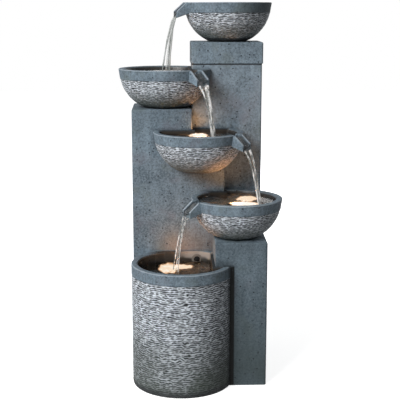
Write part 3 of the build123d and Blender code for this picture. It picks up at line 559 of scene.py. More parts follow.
def rim_parts(radius, height, soft):
    """Parts of a rim: softened outer edge, flat top, softened inner edge that gets wetter inwards."""
    mouth = radius - RIM_WALL
    return [
        part(quarter((radius - soft, height - soft), soft, 0.0)),
        part(straight((radius - 5.0, height), (mouth + 4.0, height), 4), grow=np.linspace(2.0, 6.0, 4)),
        part(quarter((mouth + 3.0, height - 3.0), 3.0, np.pi / 2), grow=LINER, wet=np.linspace(0.0, 0.5, 6)),
    ]


def inner_wall(bowl):
    """Inner wall of a bowl, bowed, from the rim down to the floor."""
    mouth = bowl["radius"] - RIM_WALL
    return bowed((bowl["foot"] - LINER, BOWL_FLOOR), (mouth, BOWL_HEIGHT + 1.0), 15.0, 24)[::-1]


def bowl_section(bowl):
    """Section of a bowl: foot disc, bowed carved side, flared band, rounded rim, bowed inside, floor."""
    foot, radius = bowl["foot"], bowl["radius"]
    neck, shoulder = radius - 5.6, BOWL_HEIGHT - BAND
    inner = inner_wall(bowl)
    floor = (foot - LINER, BOWL_FLOOR)
    return section([
        part(straight((foot, 0.0), (foot, 0.0), 4), share=np.linspace(0.25, 0.98, 4)),
        part(bowed((foot, 0.0), (neck, shoulder), 13.0, 102), carved=1.0),
        part(straight((neck + 1.4, shoulder + 0.4), (radius - 0.3, BOWL_HEIGHT - 3.0), 9)),
        *rim_parts(radius, BOWL_HEIGHT, 2.5),
        part(inner[inner[:, 1] < BOWL_HEIGHT - 3.5], grow=LINER, wet=1.0),
        part(straight(floor, floor, 6), share=np.linspace(0.95, 0.15, 6), grow=LINER, wet=1.0),
    ])


print("bowl section samples", len(bowl_section(bowls["top"])[0]))

# %% [markdown]
# ## Carving a vessel
# The section is swept over all the rays at once. The carved part moves along the section's own normal by the
# split stone's relief, and the rim sinks where the water leaves through a lip. Extra rays stand close to the
# lip's two cheeks, so that the notch has crisp sides. Dirt, painted shade, painted highlights on the upper edges
# and wetness are worked out from where a point lies, and stored on it for the finish to read.

# %% Notch for a lip, and marks of splashed water and of painted shade in the basin
LIP_HALF = 16.5
NOTCH = 11.0


def lip_angles(pole, centre, radius, lip):
    """Angles, seen from the pole, of the rays beside a lip's channel."""
    way = np.array([math.cos(lip), math.sin(lip)])
    side = np.array([-way[1], way[0]])
    offset = np.concatenate([s * (LIP_HALF + np.array([-1.2, -0.4, 0.0, 0.4, 1.2])) for s in (-1, 1)])
    spot = centre + way * np.sqrt(radius ** 2 - offset ** 2)[:, None] + side * offset[:, None] - pole
    return np.arctan2(spot[:, 1], spot[:, 0]) % (2 * np.pi)


def lip_sink(cast, level, height, lip):
    """How far a point sinks in a lip's channel: the notch's depth at the rim, down to nothing below the band."""
    ahead = cast[..., 0] * math.cos(lip) + cast[..., 1] * math.sin(lip)
    aside = np.abs(cast[..., 1] * math.cos(lip) - cast[..., 0] * math.sin(lip))
    sink = (ahead > 0) * (1.0 - ease(LIP_HALF - 0.3, LIP_HALF + 0.3, aside))
    return sink * np.clip((level - height + BAND) / BAND, 0.0, 1.0) * NOTCH


def splash_and_shade_marks(skin, plan, level, free, outer, rising, wet, stand, height):
    """Marks of the basin: a wet rim at the back left, lime above the water line, and painted shade where the wall
    turns away and in the inner corner.
    """
    rightward = plan[..., 0] - stand["centre"][0]
    rim = level > height - 4.0
    damp = np.maximum(wet, ((rightward < 0.0) & (rising > 0.3) & rim) * (1.0 - ease(4.0, 34.0, free)))
    inside = (wet > 0.0) | ((free < 0.0) & rim)
    line = level + 7.0 * (grain(skin, 12 * MM, 14) - 0.5)
    lime = inside * ease(-75.0, -15.0, plan[..., 0]) * (1.0 - ease(14.0, 40.0, -LINER - plan[..., 1]))
    lime = lime * ease(height - 22.0, height - 12.0, line)
    # Painted shade in the inner corner at the right, and where the outer wall turns away on the right.
    corner = inside * ease(64.0, 72.0, rightward) * (1.0 - lime)
    turning_shade = outer * ease(0.80 * stand["radius"], 0.93 * stand["radius"], rightward)
    return np.maximum(damp, 0.3 * corner), lime, np.maximum(corner, turning_shade)


# %% Vessel builder
CARVED_SHADE = 0.40
WEAR = 0.28


def carve(name, node, shape, height, stand, around=600, bite=1.5, row=4.6, dash=4.4, dusk=0.0, shade=0.42,
          shade_from=0.10, grime=1.0, seam=7.0, splashed_and_shaded=False):
    """Closed stone vessel from a section, with its relief and its marks stored on its points.

    Every sample of the section runs out along every ray. The carved part then moves along the section's normal by
    bite times the relief, and the plain part sinks by a little wear. A higher grime keeps the foot's dirt lower,
    seam is the width of the painted shade beside a column, shade is how much painted shade the band gets to the
    right, and dusk is how much painted shade the carved side gets near a column.
    """
    points, normal, along, share, grow, carved, wet = shape
    share, carved, wet = share[:, None], carved[:, None], wet[:, None]
    centre, pole = (np.array(stand[key], float) for key in ("centre", "pole"))
    radius, lip, base = stand["radius"], stand["lip"], stand["base"]
    angles = np.linspace(0.0, 2 * np.pi, around, endpoint=False)
    if lip is not None:
        angles = np.unique(np.concatenate([angles, lip_angles(pole, centre, radius, lip)]))
    way = np.stack([np.cos(angles), np.sin(angles)], -1)
    reach, free = np.array([rays(pole, angles, centre, p[0], stand["blocks"], g)
                            for p, g in zip(points, grow)]).transpose(1, 0, 2)
    plan = pole + (share * reach)[..., None] * way
    cast = plan - centre
    level = np.broadcast_to(points[:, 1:2], reach.shape).copy()
    if lip is not None:
        level -= lip_sink(cast, level, height, lip)
    skin = np.concatenate([(plan + SHIFT) * MM, (level[..., None] + base) * MM], -1)
    relief = split_face(skin, along[:, None] * MM, row, dash)
    strength = carved * ease(0.0, 5.0, free) * ease(0.0, 4.0, level)
    wear = grain(skin, 9 * MM, 7) + 0.6 * grain(skin, 3.5 * MM, 8)
    push = strength * bite * (relief - 0.45) - (1.0 - carved) * (share == 1.0) * WEAR * wear
    outward = cast / np.maximum(np.hypot(cast[..., 0], cast[..., 1]), 1e-6)[..., None]
    upward = np.broadcast_to(normal[:, None, 1:], (*level.shape, 1))
    skin = skin + np.concatenate([outward * normal[:, None, :1], upward], -1) * (push * MM)[..., None]
    piece = closed_skin(name, skin, *([*(pole + SHIFT) * MM, (points[k, 1] + base) * MM] for k in (0, -1)))
    low = 1.0 - ease(0.0, 0.75 * (height - BAND), level) ** grime
    outer = (normal[:, :1] > 0.25) & (wet == 0.0)
    rightward = ease(shade_from * radius, 0.97 * radius, cast[..., 0])
    # Painted shade: where the stone meets a column, beside it, on the band to the right, and on the carved side
    # near a column.
    edge = np.maximum.reduce([
        1.0 - ease(-2.0, 1.0, free),
        0.65 * (1.0 - ease(0.5, seam, free)) * (level < height - 0.5),
        outer * rightward * np.where(carved > 0.0, CARVED_SHADE, shade),
        dusk * carved * (1.0 - ease(4.0, 48.0, free)),
    ])
    # Upper outer edge of the plain rim: partly wear, partly a painted highlight.
    worn_highlight = 0.8 * ((normal[:, :1] > 0.25) & (normal[:, 1:] > 0.25) & (carved == 0.0))
    damp, lime = wet, np.zeros(1)
    if splashed_and_shaded:
        damp, lime, dark = splash_and_shade_marks(skin, plan, level, free, outer, normal[:, 1:], wet, stand, height)
        edge = np.maximum(edge, dark)
    marks = dict(relief=relief, low=low, edge=edge, wet=damp, lime=lime, carved=carved, worn_highlight=worn_highlight)
    for key, values in marks.items():
        paint(piece, key, np.broadcast_to(values, relief.shape))
    piece.data.materials.append(split_stone)
    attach(piece, BODY)
    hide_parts(node)
    print(name, "points", len(piece.data.vertices))
    return piece


# %% The four bowls
# Painted shade on the band and the carved side, and how low the foot's dirt stays, for some bowls.
shade_and_grime = {"top": dict(shade=0.85, shade_from=-0.15, grime=1.9), "left": dict(dusk=0.8, grime=1.3)}
for key, bowl in bowls.items():
    carve(key + "_bowl_stone", key + "_bowl", bowl_section(bowl), BOWL_HEIGHT, bowl, **shade_and_grime.get(key, {}))

# %% [markdown]
# ## The basin drum
# The drum is the same idea with a straight side. Its pole stands well forward, because from the middle the corner
# of the right column would hide part of the wall.

# %% Basin drum
DRUM_RADIUS = 134.5
DRUM_HEIGHT = 328.0
DRUM_FLOOR = 26.0
DRUM_FOOT = 104.5
DRUM_BAND = 29.5
drum = dict(centre=(-46.0, -114.5), pole=(-46.0, -176.0), base=0.0, radius=DRUM_RADIUS, lip=None,
            blocks=(SLAB, RIGHT_COLUMN))


def drum_section():
    """Section of the drum: recessed foot, carved side, plain band, rounded rim, inside, floor."""
    wide, top, foot = DRUM_RADIUS, DRUM_HEIGHT, DRUM_FOOT
    side, mouth = wide - 1.6, wide - RIM_WALL
    floor = (mouth, DRUM_FLOOR)
    return section([
        part(straight((foot, 8.0), (foot, 8.0), 3), share=np.linspace(0.3, 0.98, 3)),
        part(straight((foot, 8.0), (foot, 0.6), 3)),
        part(straight((foot + 1.5, 0.0), (side - 3.0, 0.0), 4)),
        part(quarter((side - 2.0, 2.0), 2.0, -np.pi / 2, 4), carved=1.0),
        part(straight((side, 4.0), (side, top - DRUM_BAND), 216), carved=1.0),
        part(straight((wide - 0.2, top - DRUM_BAND + 0.4), (wide, top - 3.0), 8)),
        *rim_parts(wide, top, 2.8),
        part(straight((mouth, top - 6.0), (mouth, top - 36.0), 16), grow=LINER, wet=1.0),
        part(straight((mouth, top - 40.0), floor, 6), grow=LINER, wet=1.0),
        part(straight(floor, floor, 5), share=np.linspace(0.95, 0.2, 5), grow=LINER, wet=1.0),
    ])


carve("basin_stone", "basin", drum_section(), DRUM_HEIGHT, drum, around=352, bite=1.8, row=5.4, dash=5.4,
      seam=20.0, splashed_and_shaded=True)

# %% [markdown]
# ## Pouring lips
# A lip is a chute that falls away from the rim. Its section is a square-shouldered U with softened corners,
# carried straight out from the rim while its top, its floor and its underside each slope at their own rate.

# %% Lips
LIP_REACH = 26.0
LIP_OUT = 22.5
LIP_ROOT = 12.75
TOP_FALL, FLOOR_FALL, UNDER_FALL = 23.0, 21.0, 13.4


def soft_corners(corners, radius, count=4):
    """Closed outlines with each corner replaced by a short curve: the quadratic between points a radius away."""
    ends = []
    for turn in (1, -1):
        edge = np.roll(corners, turn, axis=-2) - corners
        length = np.hypot(edge[..., :1], edge[..., 1:])
        ends.append(corners + edge / length * np.minimum(radius, 0.4 * length))
    start, corner, end = (points[..., None, :] for points in (ends[0], corners, ends[1]))
    t = np.linspace(0.0, 1.0, count)[:, None]
    curve = (1 - t) ** 2 * start + 2 * t * (1 - t) * corner + t ** 2 * end
    return curve.reshape(*corners.shape[:-2], -1, 2)


def make_lip(name, node, bowl):
    """Chute from inside the rim wall to its tip: U sections whose heights change along it."""
    radius, base = bowl["radius"], bowl["base"]
    root, tip = radius - LIP_ROOT, radius + LIP_REACH
    reach = np.concatenate([np.linspace(root, radius, 6), np.linspace(radius, tip, 30)[1:], [tip]])
    fall = np.clip((reach - radius) / LIP_REACH, 0.0, 1.0)
    top = BOWL_HEIGHT - TOP_FALL * fall
    floor = BOWL_HEIGHT - NOTCH + 0.4 - FLOOR_FALL * fall
    under = BOWL_HEIGHT - BAND - UNDER_FALL * (reach - root) / (tip - root)
    corners = ((-LIP_OUT, under), (LIP_OUT, under), (LIP_OUT, top), (LIP_HALF, top),
               (LIP_HALF, floor), (-LIP_HALF, floor), (-LIP_HALF, top), (-LIP_OUT, top))
    outline = np.stack([np.stack(np.broadcast_arrays(x, z), -1) for x, z in corners], 1)
    curve = soft_corners(outline, 2.2)
    rings = np.concatenate([np.broadcast_to(reach[:, None, None], (*curve.shape[:2], 1)), curve], -1)
    middle = rings[-1].mean(0)
    rings[-1] = middle + 0.94 * (rings[-1] - middle)
    way = np.array([math.cos(bowl["lip"]), math.sin(bowl["lip"])])
    side = np.array([-way[1], way[0]])
    plan = np.array(bowl["centre"]) + rings[..., :1] * way + rings[..., 1:2] * side + SHIFT
    skin = np.concatenate([plan, rings[..., 2:] + base], -1) * MM
    dent = (grain(skin, 7 * MM, 5) + 0.5 * grain(skin, 3 * MM, 6)) * 0.5 * MM
    inward = skin.mean(1, keepdims=True) - skin
    inward[..., 2] *= 0.4
    skin = skin + inward / np.linalg.norm(inward, axis=-1, keepdims=True) * dent[..., None]
    low = skin[:, :4].mean(1)
    piece = closed_skin(name, skin, low[0], low[-1])
    high = skin[..., 2] / MM - base
    inside = np.abs(rings[..., 1]) < LIP_HALF + 1.0
    front = (reach > tip - 0.5)[:, None]
    channel = inside * (high < top[:, None] - 3.0) * (front | (high > under[:, None] + 5.0))
    paint(piece, "relief", dent / MM)
    for key in ("carved", "low"):
        paint(piece, key, np.zeros(dent.shape))
    # The channel is painted wet and nearly black, with a rougher gloss.
    for key, depth in (("wet", 0.15), ("edge", 0.9)):
        paint(piece, key, depth * channel, (0.0, depth))
    # Top edges of the cheeks: partly wear, partly a painted highlight.
    paint(piece, "worn_highlight", (high > top[:, None] - 2.2) * (reach > radius + 1.0)[:, None])
    piece.data.materials.append(split_stone)
    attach(piece, BODY)
    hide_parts(node)
    return piece


for key, bowl in bowls.items():
    lip = make_lip(key + "_lip_stone", key + "_bowl", bowl)
    print(lip.name, len(lip.data.vertices))

# %% [markdown]
# ## Finishes for the solids that stay
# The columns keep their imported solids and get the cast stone. The small parts get plain maker's finishes: moulded
# plastic with a fine grain, rubber, brushed metal, clear vinyl, a warm lens. Each has its own grain and
# roughness. The sleeve of the lead port is rubber that lime has turned grey-brown.

# %% Plastics, rubber, metals
def make_moulded(name, colour, rough, grit, scale=900.0):
    """Moulded plastic or rubber: a fine spark grain and slow changes of gloss."""
    material, wire, shader = finish(name)
    place = own_place(wire)
    fine = noise(wire, place, scale, 2.0)
    slow = noise(wire, place, 24.0, 3.0)
    pale = rgb(*(min(1.0, 1.35 * v + 0.01) for v in colour))
    feed(shader, Base_Color=(slow * 0.6 + fine * 0.3).between(rgb(*colour), pale), Roughness=rough + slow * 0.15,
         Normal=bumped(wire, fine, grit * MM))
    return material


def make_metal(name, colour, rough, scale):
    """Brushed metal: streaks of gloss drawn out along one axis."""
    material, wire, shader = finish(name)
    streak = noise(wire, scaled(wire, own_place(wire), (scale, scale, scale / 18.0)), 1.0, 3.0)
    dark = rgb(*(0.7 * v for v in colour))
    feed(shader, Base_Color=streak.between(dark, rgb(*colour)), Roughness=rough + streak * 0.2,
         Normal=bumped(wire, streak, 0.05 * MM), Metallic=1.0)
    return material


def make_clear(name, colour, rough, ior):
    """Clear vinyl or lens: light passes, with a faint cloudiness in the gloss."""
    material, wire, shader = finish(name)
    cloud = noise(wire, own_place(wire), 60.0, 3.0)
    feed(shader, Base_Color=cloud.between(rgb(*colour), rgb(*(0.92 * v for v in colour))),
         Roughness=rough + cloud * 0.08, Transmission_Weight=0.85, IOR=ior)
    return material


def make_emitter():
    """Emitter board: a warm phosphor with a grid of brighter dots."""
    material, wire, shader = finish("emitter_finish")
    dots = voronoi(wire, own_place(wire), 160.0)
    glow = dots.fade(0.1, 0.5).between(rgb(1.0, 0.62, 0.30), rgb(1.0, 0.86, 0.62))
    feed(shader, Base_Color=glow, Emission_Color=glow, Emission_Strength=6.0)
    return material


# %% A finish for each material slot
finishes = {
    "cast_stone": cast_stone,
    "split_stone": split_stone,
    "rear_plastic": make_moulded("rear_plastic_finish", (0.045, 0.050, 0.056), 0.5, 0.12),
    "pump_plastic": make_moulded("pump_plastic_finish", (0.012, 0.012, 0.014), 0.45, 0.12),
    "impeller_plastic": make_moulded("impeller_plastic_finish", (0.55, 0.56, 0.58), 0.3, 0.05),
    "dial_plastic": make_moulded("dial_plastic_finish", (0.03, 0.032, 0.035), 0.28, 0.05),
    "lamp_plastic": make_moulded("lamp_plastic_finish", (0.016, 0.016, 0.018), 0.5, 0.1),
    "rubber": make_moulded("rubber_finish", (0.012, 0.012, 0.012), 0.75, 0.15, 600.0),
    "hose_vinyl": make_clear("hose_vinyl_finish", (0.80, 0.86, 0.86), 0.12, 1.45),
    "lens": make_clear("lens_finish", (1.0, 0.95, 0.86), 0.18, 1.49),
    "steel": make_metal("steel_finish", (0.58, 0.58, 0.57), 0.25, 900.0),
    "brass_fitting": make_metal("brass_finish", (0.70, 0.50, 0.22), 0.22, 700.0),
    "white_ceramic": make_moulded("ceramic_finish", (0.78, 0.77, 0.74), 0.2, 0.02),
    "emitter": make_emitter(),
}
limed_rubber = make_moulded("limed_rubber_finish", (0.17, 0.15, 0.13), 0.85, 0.15, 600.0)
for entry in frame["record"]["subparts"]:
    solid = frame["nodes"][entry["node"]]
    solid.data.materials.clear()
    limed = entry["node"] == "port_grommet"
    solid.data.materials.append(limed_rubber if limed else finishes[entry["material_slot"]])
print("finishes", len(finishes))

# %% [markdown]
# ## The lead port
# A round port opens in the basin's back wall, half above the water, with a rubber sleeve round it. The new drum
# has an unbroken wall there, so a thin black plate inside the sleeve is painted shade for the depth of the port.

# %% Dark of the lead port
PORT_PLACE = np.array([-4.0, 306.0])
PORT_RADIUS = 8.45


def make_port_shade():
    """Thin round plate that faces the front: a circle in X and Z at two depths, closed on its middle points."""
    turn = np.linspace(0.0, 2 * np.pi, 40, endpoint=False)
    x, z = PORT_PLACE[:, None] + PORT_RADIUS * np.stack([np.cos(turn), np.sin(turn)])
    rings = np.stack([np.stack(np.broadcast_arrays(x + SHIFT[0], SHIFT[1] - LINER - deep, z), -1)
                      for deep in (0.2, 0.7)]) * MM
    piece = closed_skin("port_shade", rings, rings[0].mean(0), rings[1].mean(0))
    piece.data.materials.append(make_moulded("port_shade_finish", (0.001, 0.001, 0.001), 0.85, 0.02))
    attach(piece, BODY)
    return piece


print("made", make_port_shade().name)

# %% [markdown]
# ## Standing water
# Each vessel holds a closed body of water: a rippled top, and sides that sit just inside the stone. The ripples
# are rings round the place where the stream lands, dying away with distance, over a slower random swell. The light
# of a lamp below is painted on as a glowing patch whose edge the ripples break up, with a painted brown glow to one
# side; both are stored on the points.

# %% Water finish
# Colours of the lamps' light, painted on the water.
GLOW_WARM = rgb(0.80, 0.44, 0.22)
GLOW_CREAM = rgb(0.90, 0.73, 0.55)
GLOW_WHITE = rgb(1.0, 0.93, 0.84)
GLOW_HAZE_BROWN = rgb(0.105, 0.058, 0.029)
NO_LIGHT = rgb(0.0, 0.0, 0.0)
WATER_IOR = 1.33


def make_water():
    """Standing water: clear, with the lamps' light painted on where the points hold glow and glow_haze, white where
    they hold foam.
    """
    material, wire, shader = finish("water_finish")
    place = own_place(wire)
    glow, foam, glow_haze = (attribute(wire, key) for key in ("glow", "foam", "glow_haze"))
    fleck = noise(wire, place, 160.0, 3.0)
    swirl = noise(wire, place, 55.0, 3.0, 0.6)
    light = (glow + (fleck - 0.5) * 1.5).step(0.30, 0.95).between(GLOW_WARM, GLOW_CREAM)
    light = (glow + (swirl - 0.5) * 1.4).step(1.00, 1.35).between(light, GLOW_WHITE)
    brown = (glow_haze * swirl.step(0.35, 0.70)).between(NO_LIGHT, GLOW_HAZE_BROWN)
    white = foam * fleck.step(0.42, 0.68)
    feed(shader, Base_Color=white.between(rgb(0.90, 0.95, 0.95), rgb(0.95, 0.97, 0.98)),
         Roughness=0.03 + white * 0.5, Emission_Color=glow.step(0.0, 0.60).between(brown, light),
         Normal=bumped(wire, fleck, 0.25 * MM), Transmission_Weight=1.0, IOR=WATER_IOR, Emission_Strength=1.0)
    return material


water_finish = make_water()
print("made", water_finish.name)

# %% Bodies of water
TOP_RINGS = 44
FLOOR_RINGS = 5
INTO_STONE = 0.3


def ripples(x, y, land):
    """Height of the water's top: rings round the landing place and a random swell, in millimetres."""
    spot = np.stack([x, y, np.zeros_like(x)], -1)
    swell = (grain(spot, 24.0, 9) - 0.5) * 1.4 + (grain(spot, 10.0, 10) - 0.5) * 0.7
    away = np.hypot(x - land[0], y - land[1])
    rings = 1.3 * np.exp(-away / 32.0) * np.sin(away * 2 * np.pi / 12.5)
    return swell + rings


def fill(name, stand, wall, level, land, patches, around=220):
    """Closed body of water: rippled top rings, then sides along the vessel's inner wall, then the floor."""
    centre, pole = (np.array(stand[key], float) for key in ("centre", "pole"))
    angles = np.linspace(0.0, 2 * np.pi, around, endpoint=False)
    way = np.stack([np.cos(angles), np.sin(angles)], -1)
    wall = wall[wall[:, 1] < level - 0.5]
    edge = np.interp(level, wall[::-1, 1], wall[::-1, 0])
    radii = np.concatenate([np.full(TOP_RINGS, edge), wall[:, 0], np.full(FLOOR_RINGS, wall[-1, 0])]) + INTO_STONE
    share = np.concatenate([np.linspace(0.02, 1.0, TOP_RINGS), np.ones(len(wall)),
                            np.linspace(0.9, 0.1, FLOOR_RINGS)])
    height = np.concatenate([np.full(TOP_RINGS, level), wall[:, 1],
                             np.full(FLOOR_RINGS, wall[-1, 1] - INTO_STONE)])
    top = (np.arange(len(radii)) < TOP_RINGS)[:, None] * 1.0
    reach = np.array([rays(pole, angles, centre, r, stand["blocks"], LINER - INTO_STONE)[0] for r in radii])
    plan = pole + (share[:, None] * reach)[..., None] * way
    x, y = plan[..., 0], plan[..., 1]
    lift = ripples(x, y, land)
    z = height[:, None] + top * lift + stand["base"]
    skin = np.concatenate([plan + SHIFT, z[..., None]], -1)[::-1] * MM
    flat = np.stack([x, 0.45 * y, np.zeros_like(lift)], -1)
    broken = 0.35 * (grain(flat, 16.0, 12) - 0.5) + 0.30 * (grain(flat, 6.0, 13) - 0.5) + 0.05 * lift
    glow, glow_haze = np.zeros((2, *lift.shape))
    # Painted light of the lamps below: a glowing patch, and a brown glow leaning to one side.
    for patch_x, patch_y, wide, deep, heat, lean in patches:
        away = np.hypot((x - patch_x) / wide, (y - patch_y) / deep)
        glow = np.maximum(glow, heat * top * (1.0 - ease(0.68, 1.05, away + broken)))
        away = np.hypot((x - patch_x - lean) / wide, (y - patch_y) / deep)
        glow_haze = np.maximum(glow_haze, top * (1.0 - ease(0.9, 2.4, away + 2.0 * broken)))
    foam = top * (1.0 - ease(3.0, 10.0, np.hypot(x - land[0], y - land[1])))
    piece = closed_skin(name, skin, *([*(pole + SHIFT) * MM, v * MM] for v in (z[-1, 0], z[0].mean())))
    for key, values in (("glow", glow), ("foam", foam), ("glow_haze", glow_haze)):
        paint(piece, key, values[::-1], (0.0, values[0].mean()))
    piece.data.materials.append(water_finish)
    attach(piece, BODY)
    print(name, "points", len(piece.data.vertices))
    return piece


# %% Water in the bowls and the basin
BOWL_LEVEL = 96.0
BASIN_LEVEL = 301.0
drum_wall = straight((DRUM_RADIUS - RIM_WALL, DRUM_HEIGHT), (DRUM_RADIUS - RIM_WALL, DRUM_FLOOR), 12)
landings = {"left": (-88.0, 62.0), "middle": (38.0, -70.0), "right": (155.0, -132.0), "basin": (-63.0, -104.0)}
# Each patch of painted lamp light: middle in plan, half width, half depth, heat, and how far its painted brown glow
# leans to the right.
glows = {
    "middle": [(0.0, -34.0, 29.0, 46.0, 1.2, 0.0)],
    "right": [(129.0, -61.0, 31.0, 40.0, 0.9, -12.0), (113.0, -128.0, 40.0, 29.0, 1.5, -20.0)],
    "basin": [(-83.0, -80.0, 29.0, 53.0, 1.0, 40.0), (-46.0, -66.0, 30.0, 25.0, 1.0, 22.0)],
}
for key, bowl in bowls.items():
    fill(key + "_bowl_water", bowl, inner_wall(bowl), BOWL_LEVEL, landings.get(key, bowl["centre"]),
         glows.get(key, []))
fill("basin_water", drum, drum_wall, BASIN_LEVEL, landings["basin"], glows["basin"])

# %% [markdown]
# ## Falling water
# A stream leaves the lip as a thin sheet with a thicker rope at each edge, and clings to the lip's end before it
# lets go. Gravity bends it down, and surface tension draws the ropes together as it falls. Each rope is a tube
# along the falling path, its radius beaded by a random field, and a thin film spans the ropes near the lip.

# %% Stream finish
def make_stream_finish():
    """Thin running water: see-through, with grey streaks and white streaks drawn out along the fall; the white
    streaks glow as painted glints.
    """
    material, wire, shader = finish("stream_finish")
    streak = noise(wire, scaled(wire, own_place(wire), (190.0, 190.0, 13.0)), 1.0, 4.0, 0.6)
    dark = streak.fade(0.34, 0.46)
    grey, film = attribute(wire, "grey"), attribute(wire, "film")
    white = streak.step(0.45, 0.60) * (1.0 - grey * 0.85)
    colour = dark.between(rgb(0.44, 0.47, 0.45), rgb(0.13, 0.15, 0.14))
    # The white streaks also glow a little: painted glints.
    feed(shader, Base_Color=white.between(colour, rgb(0.95, 0.95, 0.95)), Roughness=0.08 + white * 0.2,
         Emission_Color=white.between(NO_LIGHT, rgb(0.95, 0.92, 0.90)),
         Alpha=(0.38 + grey * 0.22 + dark * 0.34 + white * 0.42) * (1.0 - film * 0.90),
         Normal=bumped(wire, streak, 1.2 * MM), IOR=WATER_IOR, Emission_Strength=0.24)
    return material


stream_finish = make_stream_finish()
print("made", stream_finish.name)

# %% Stream builder
CLING = 9.0
FIRST_SPEED = 0.33
FALL_POINTS = 70
FILM_POINTS = 22
GREY_FILM = 0.40


def tube(path, side, spread, thick, around=14):
    """Rings of an oval tube: across the path by spread, along its normal by thick, at each point of the path."""
    ahead = np.gradient(path, axis=0)
    ahead /= np.linalg.norm(ahead, axis=1, keepdims=True)
    across = np.broadcast_to(side, path.shape)
    normal = np.cross(across, ahead)
    turn = np.linspace(0.0, 2 * np.pi, around, endpoint=False)
    return (path[:, None] + across[:, None] * (spread[:, None] * np.cos(turn))[..., None]
            + normal[:, None] * (thick[:, None] * np.sin(turn))[..., None])


def lip_path(bowl, way):
    """Path of the sheet: from the water over the brink, down the lip's floor to its tip, down the tip's face."""
    stops = ((-24.0, BOWL_LEVEL + 0.2), (0.0, BOWL_HEIGHT - NOTCH + 2.2), (LIP_REACH, BOWL_HEIGHT - 30.2))
    back, brink, tip = (np.array([*(bowl["centre"] + way * (bowl["radius"] + reach)), bowl["base"] + height])
                        for reach, height in stops)
    foot = tip + np.array([*(way * 1.4), -CLING])
    return np.concatenate([straight(back, brink, 8), straight(brink, tip, 14)[1:], straight(tip, foot, 6)[1:]])


def make_stream(name, bowl, land, level, ropes, seed, grey):
    """Sheet over the lip and falling ropes, each a closed tube.

    The fall is a parabola in time that starts with some speed. A rope stands beside it by a quadratic through its
    places at the start, the middle and the end, sways more and more, and runs ahead by its lead.
    """
    way = np.array([math.cos(bowl["lip"]), math.sin(bowl["lip"])])
    side = np.array([-way[1], way[0], 0.0])
    over = lip_path(bowl, way)
    foot = over[-1]
    drop = foot[2] - level + 3.0
    run = np.hypot(*(land - foot[:2]))
    heading = (land - foot[:2]) / run
    t = np.linspace(0.0, 1.0, FALL_POINTS)
    sunk = drop * (FIRST_SPEED * t + (1 - FIRST_SPEED) * t * t)
    fall = np.concatenate([foot[:2] + heading * (run * t)[:, None], (foot[2] - sunk)[:, None]], -1)
    tubes = [tube(over, side, np.full(len(over), LIP_HALF - 0.7), np.full(len(over), 1.2), 20)]
    clock = np.stack([t * 6.0, np.full_like(t, seed), np.zeros_like(t)], -1)
    paths = []
    for rope, (start, middle, end, lead, stout) in enumerate(ropes):
        place = np.array([0.0, 0.0, 9.1 * rope])
        close = start * (1 - t) ** 2 + 2 * middle * t * (1 - t) + end * t * t
        sway = close + 3.0 * t * (grain(clock + place, 1.0, 21) - 0.5)
        bead = stout * (0.75 + 0.6 * grain(clock * 1.6 + place, 1.0, 22)) * (1.0 - 0.15 * t)
        ahead = np.array([*heading, 0.0]) * (lead * t ** 1.5)[:, None]
        paths.append(fall + ahead + side * sway[:, None])
        tubes.append(tube(paths[-1], side, bead, 0.72 * bead))
    span = FALL_POINTS if grey else FILM_POINTS
    width = np.linalg.norm(paths[1] - paths[0], axis=1) / 2
    tubes.append(tube(((paths[0] + paths[1]) / 2)[:span], side, width[:span], np.linspace(0.8, 0.4, span), 20))
    points, faces, film, total = [], [], [], 0
    for rings, thin in zip(tubes, (1.0, *(0.0 for _ in ropes), GREY_FILM if grey else 1.0)):
        rings = np.concatenate([rings[..., :2] + SHIFT, rings[..., 2:]], -1) * MM
        points += [rings.reshape(-1, 3), rings[0].mean(0)[None], rings[-1].mean(0)[None]]
        faces += skin_faces(*rings.shape[:2], total)
        count = rings.shape[0] * rings.shape[1] + 2
        film.append(np.full(count, thin))
        total += count
    piece = add_object(name, np.concatenate(points), faces)
    paint(piece, "film", np.concatenate(film), ())
    paint(piece, "grey", np.full(total, grey), ())
    piece.data.materials.append(stream_finish)
    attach(piece, BODY)
    print(name, "falls", round(drop), "mm, runs", round(run), "mm")
    return piece


# %% Streams
# Where each stream lands, and its ropes: places at the start, the middle and the end, lead, and radius.
streams = {
    "top": ("left", [(-12.0, -9.0, -11.0, 7.0, 3.2), (12.0, 8.0, 11.0, -10.0, 3.4), (10.0, 5.0, 4.0, -6.0, 2.2)]),
    "left": ("middle", [(-14.0, -2.0, -5.0, 0.0, 3.1), (14.0, 2.0, 5.5, 0.0, 3.4), (6.0, 2.0, 0.5, 0.0, 4.0)]),
    "middle": ("right", [(-14.0, -6.0, -2.4, -1.0, 2.6), (14.0, 6.0, 2.6, 1.0, 2.9), (9.0, 6.0, 0.5, 1.0, 2.2)]),
    "right": ("basin", [(-13.5, 0.0, -8.0, 7.0, 2.5), (13.5, -1.0, 8.0, -5.0, 2.7), (1.0, 0.0, 0.0, 0.0, 1.6)]),
}
for seed, (key, (below, ropes)) in enumerate(streams.items()):
    level = BASIN_LEVEL if below == "basin" else bowls[below]["base"] + BOWL_LEVEL
    make_stream(key + "_stream", bowls[key], landings[below], level, ropes, seed + 1.0, float(key == "top"))

# %% [markdown]
# ## Studio
# A wide pale floor runs out into white, so that there is no horizon from any side. A curved card, which only
# reflections see, gives the wet parts something bright to mirror. A large soft light stands to the left and
# above, a low one behind lights the back, and small warm lights over the lamps stand for what comes up through
# the water.

# %% Floor and card
FLOOR_HALF = 9.0
CARD_HALF = 5.0
CARD_BEND = 1.2
WHITE = rgb(1.0, 1.0, 1.0)


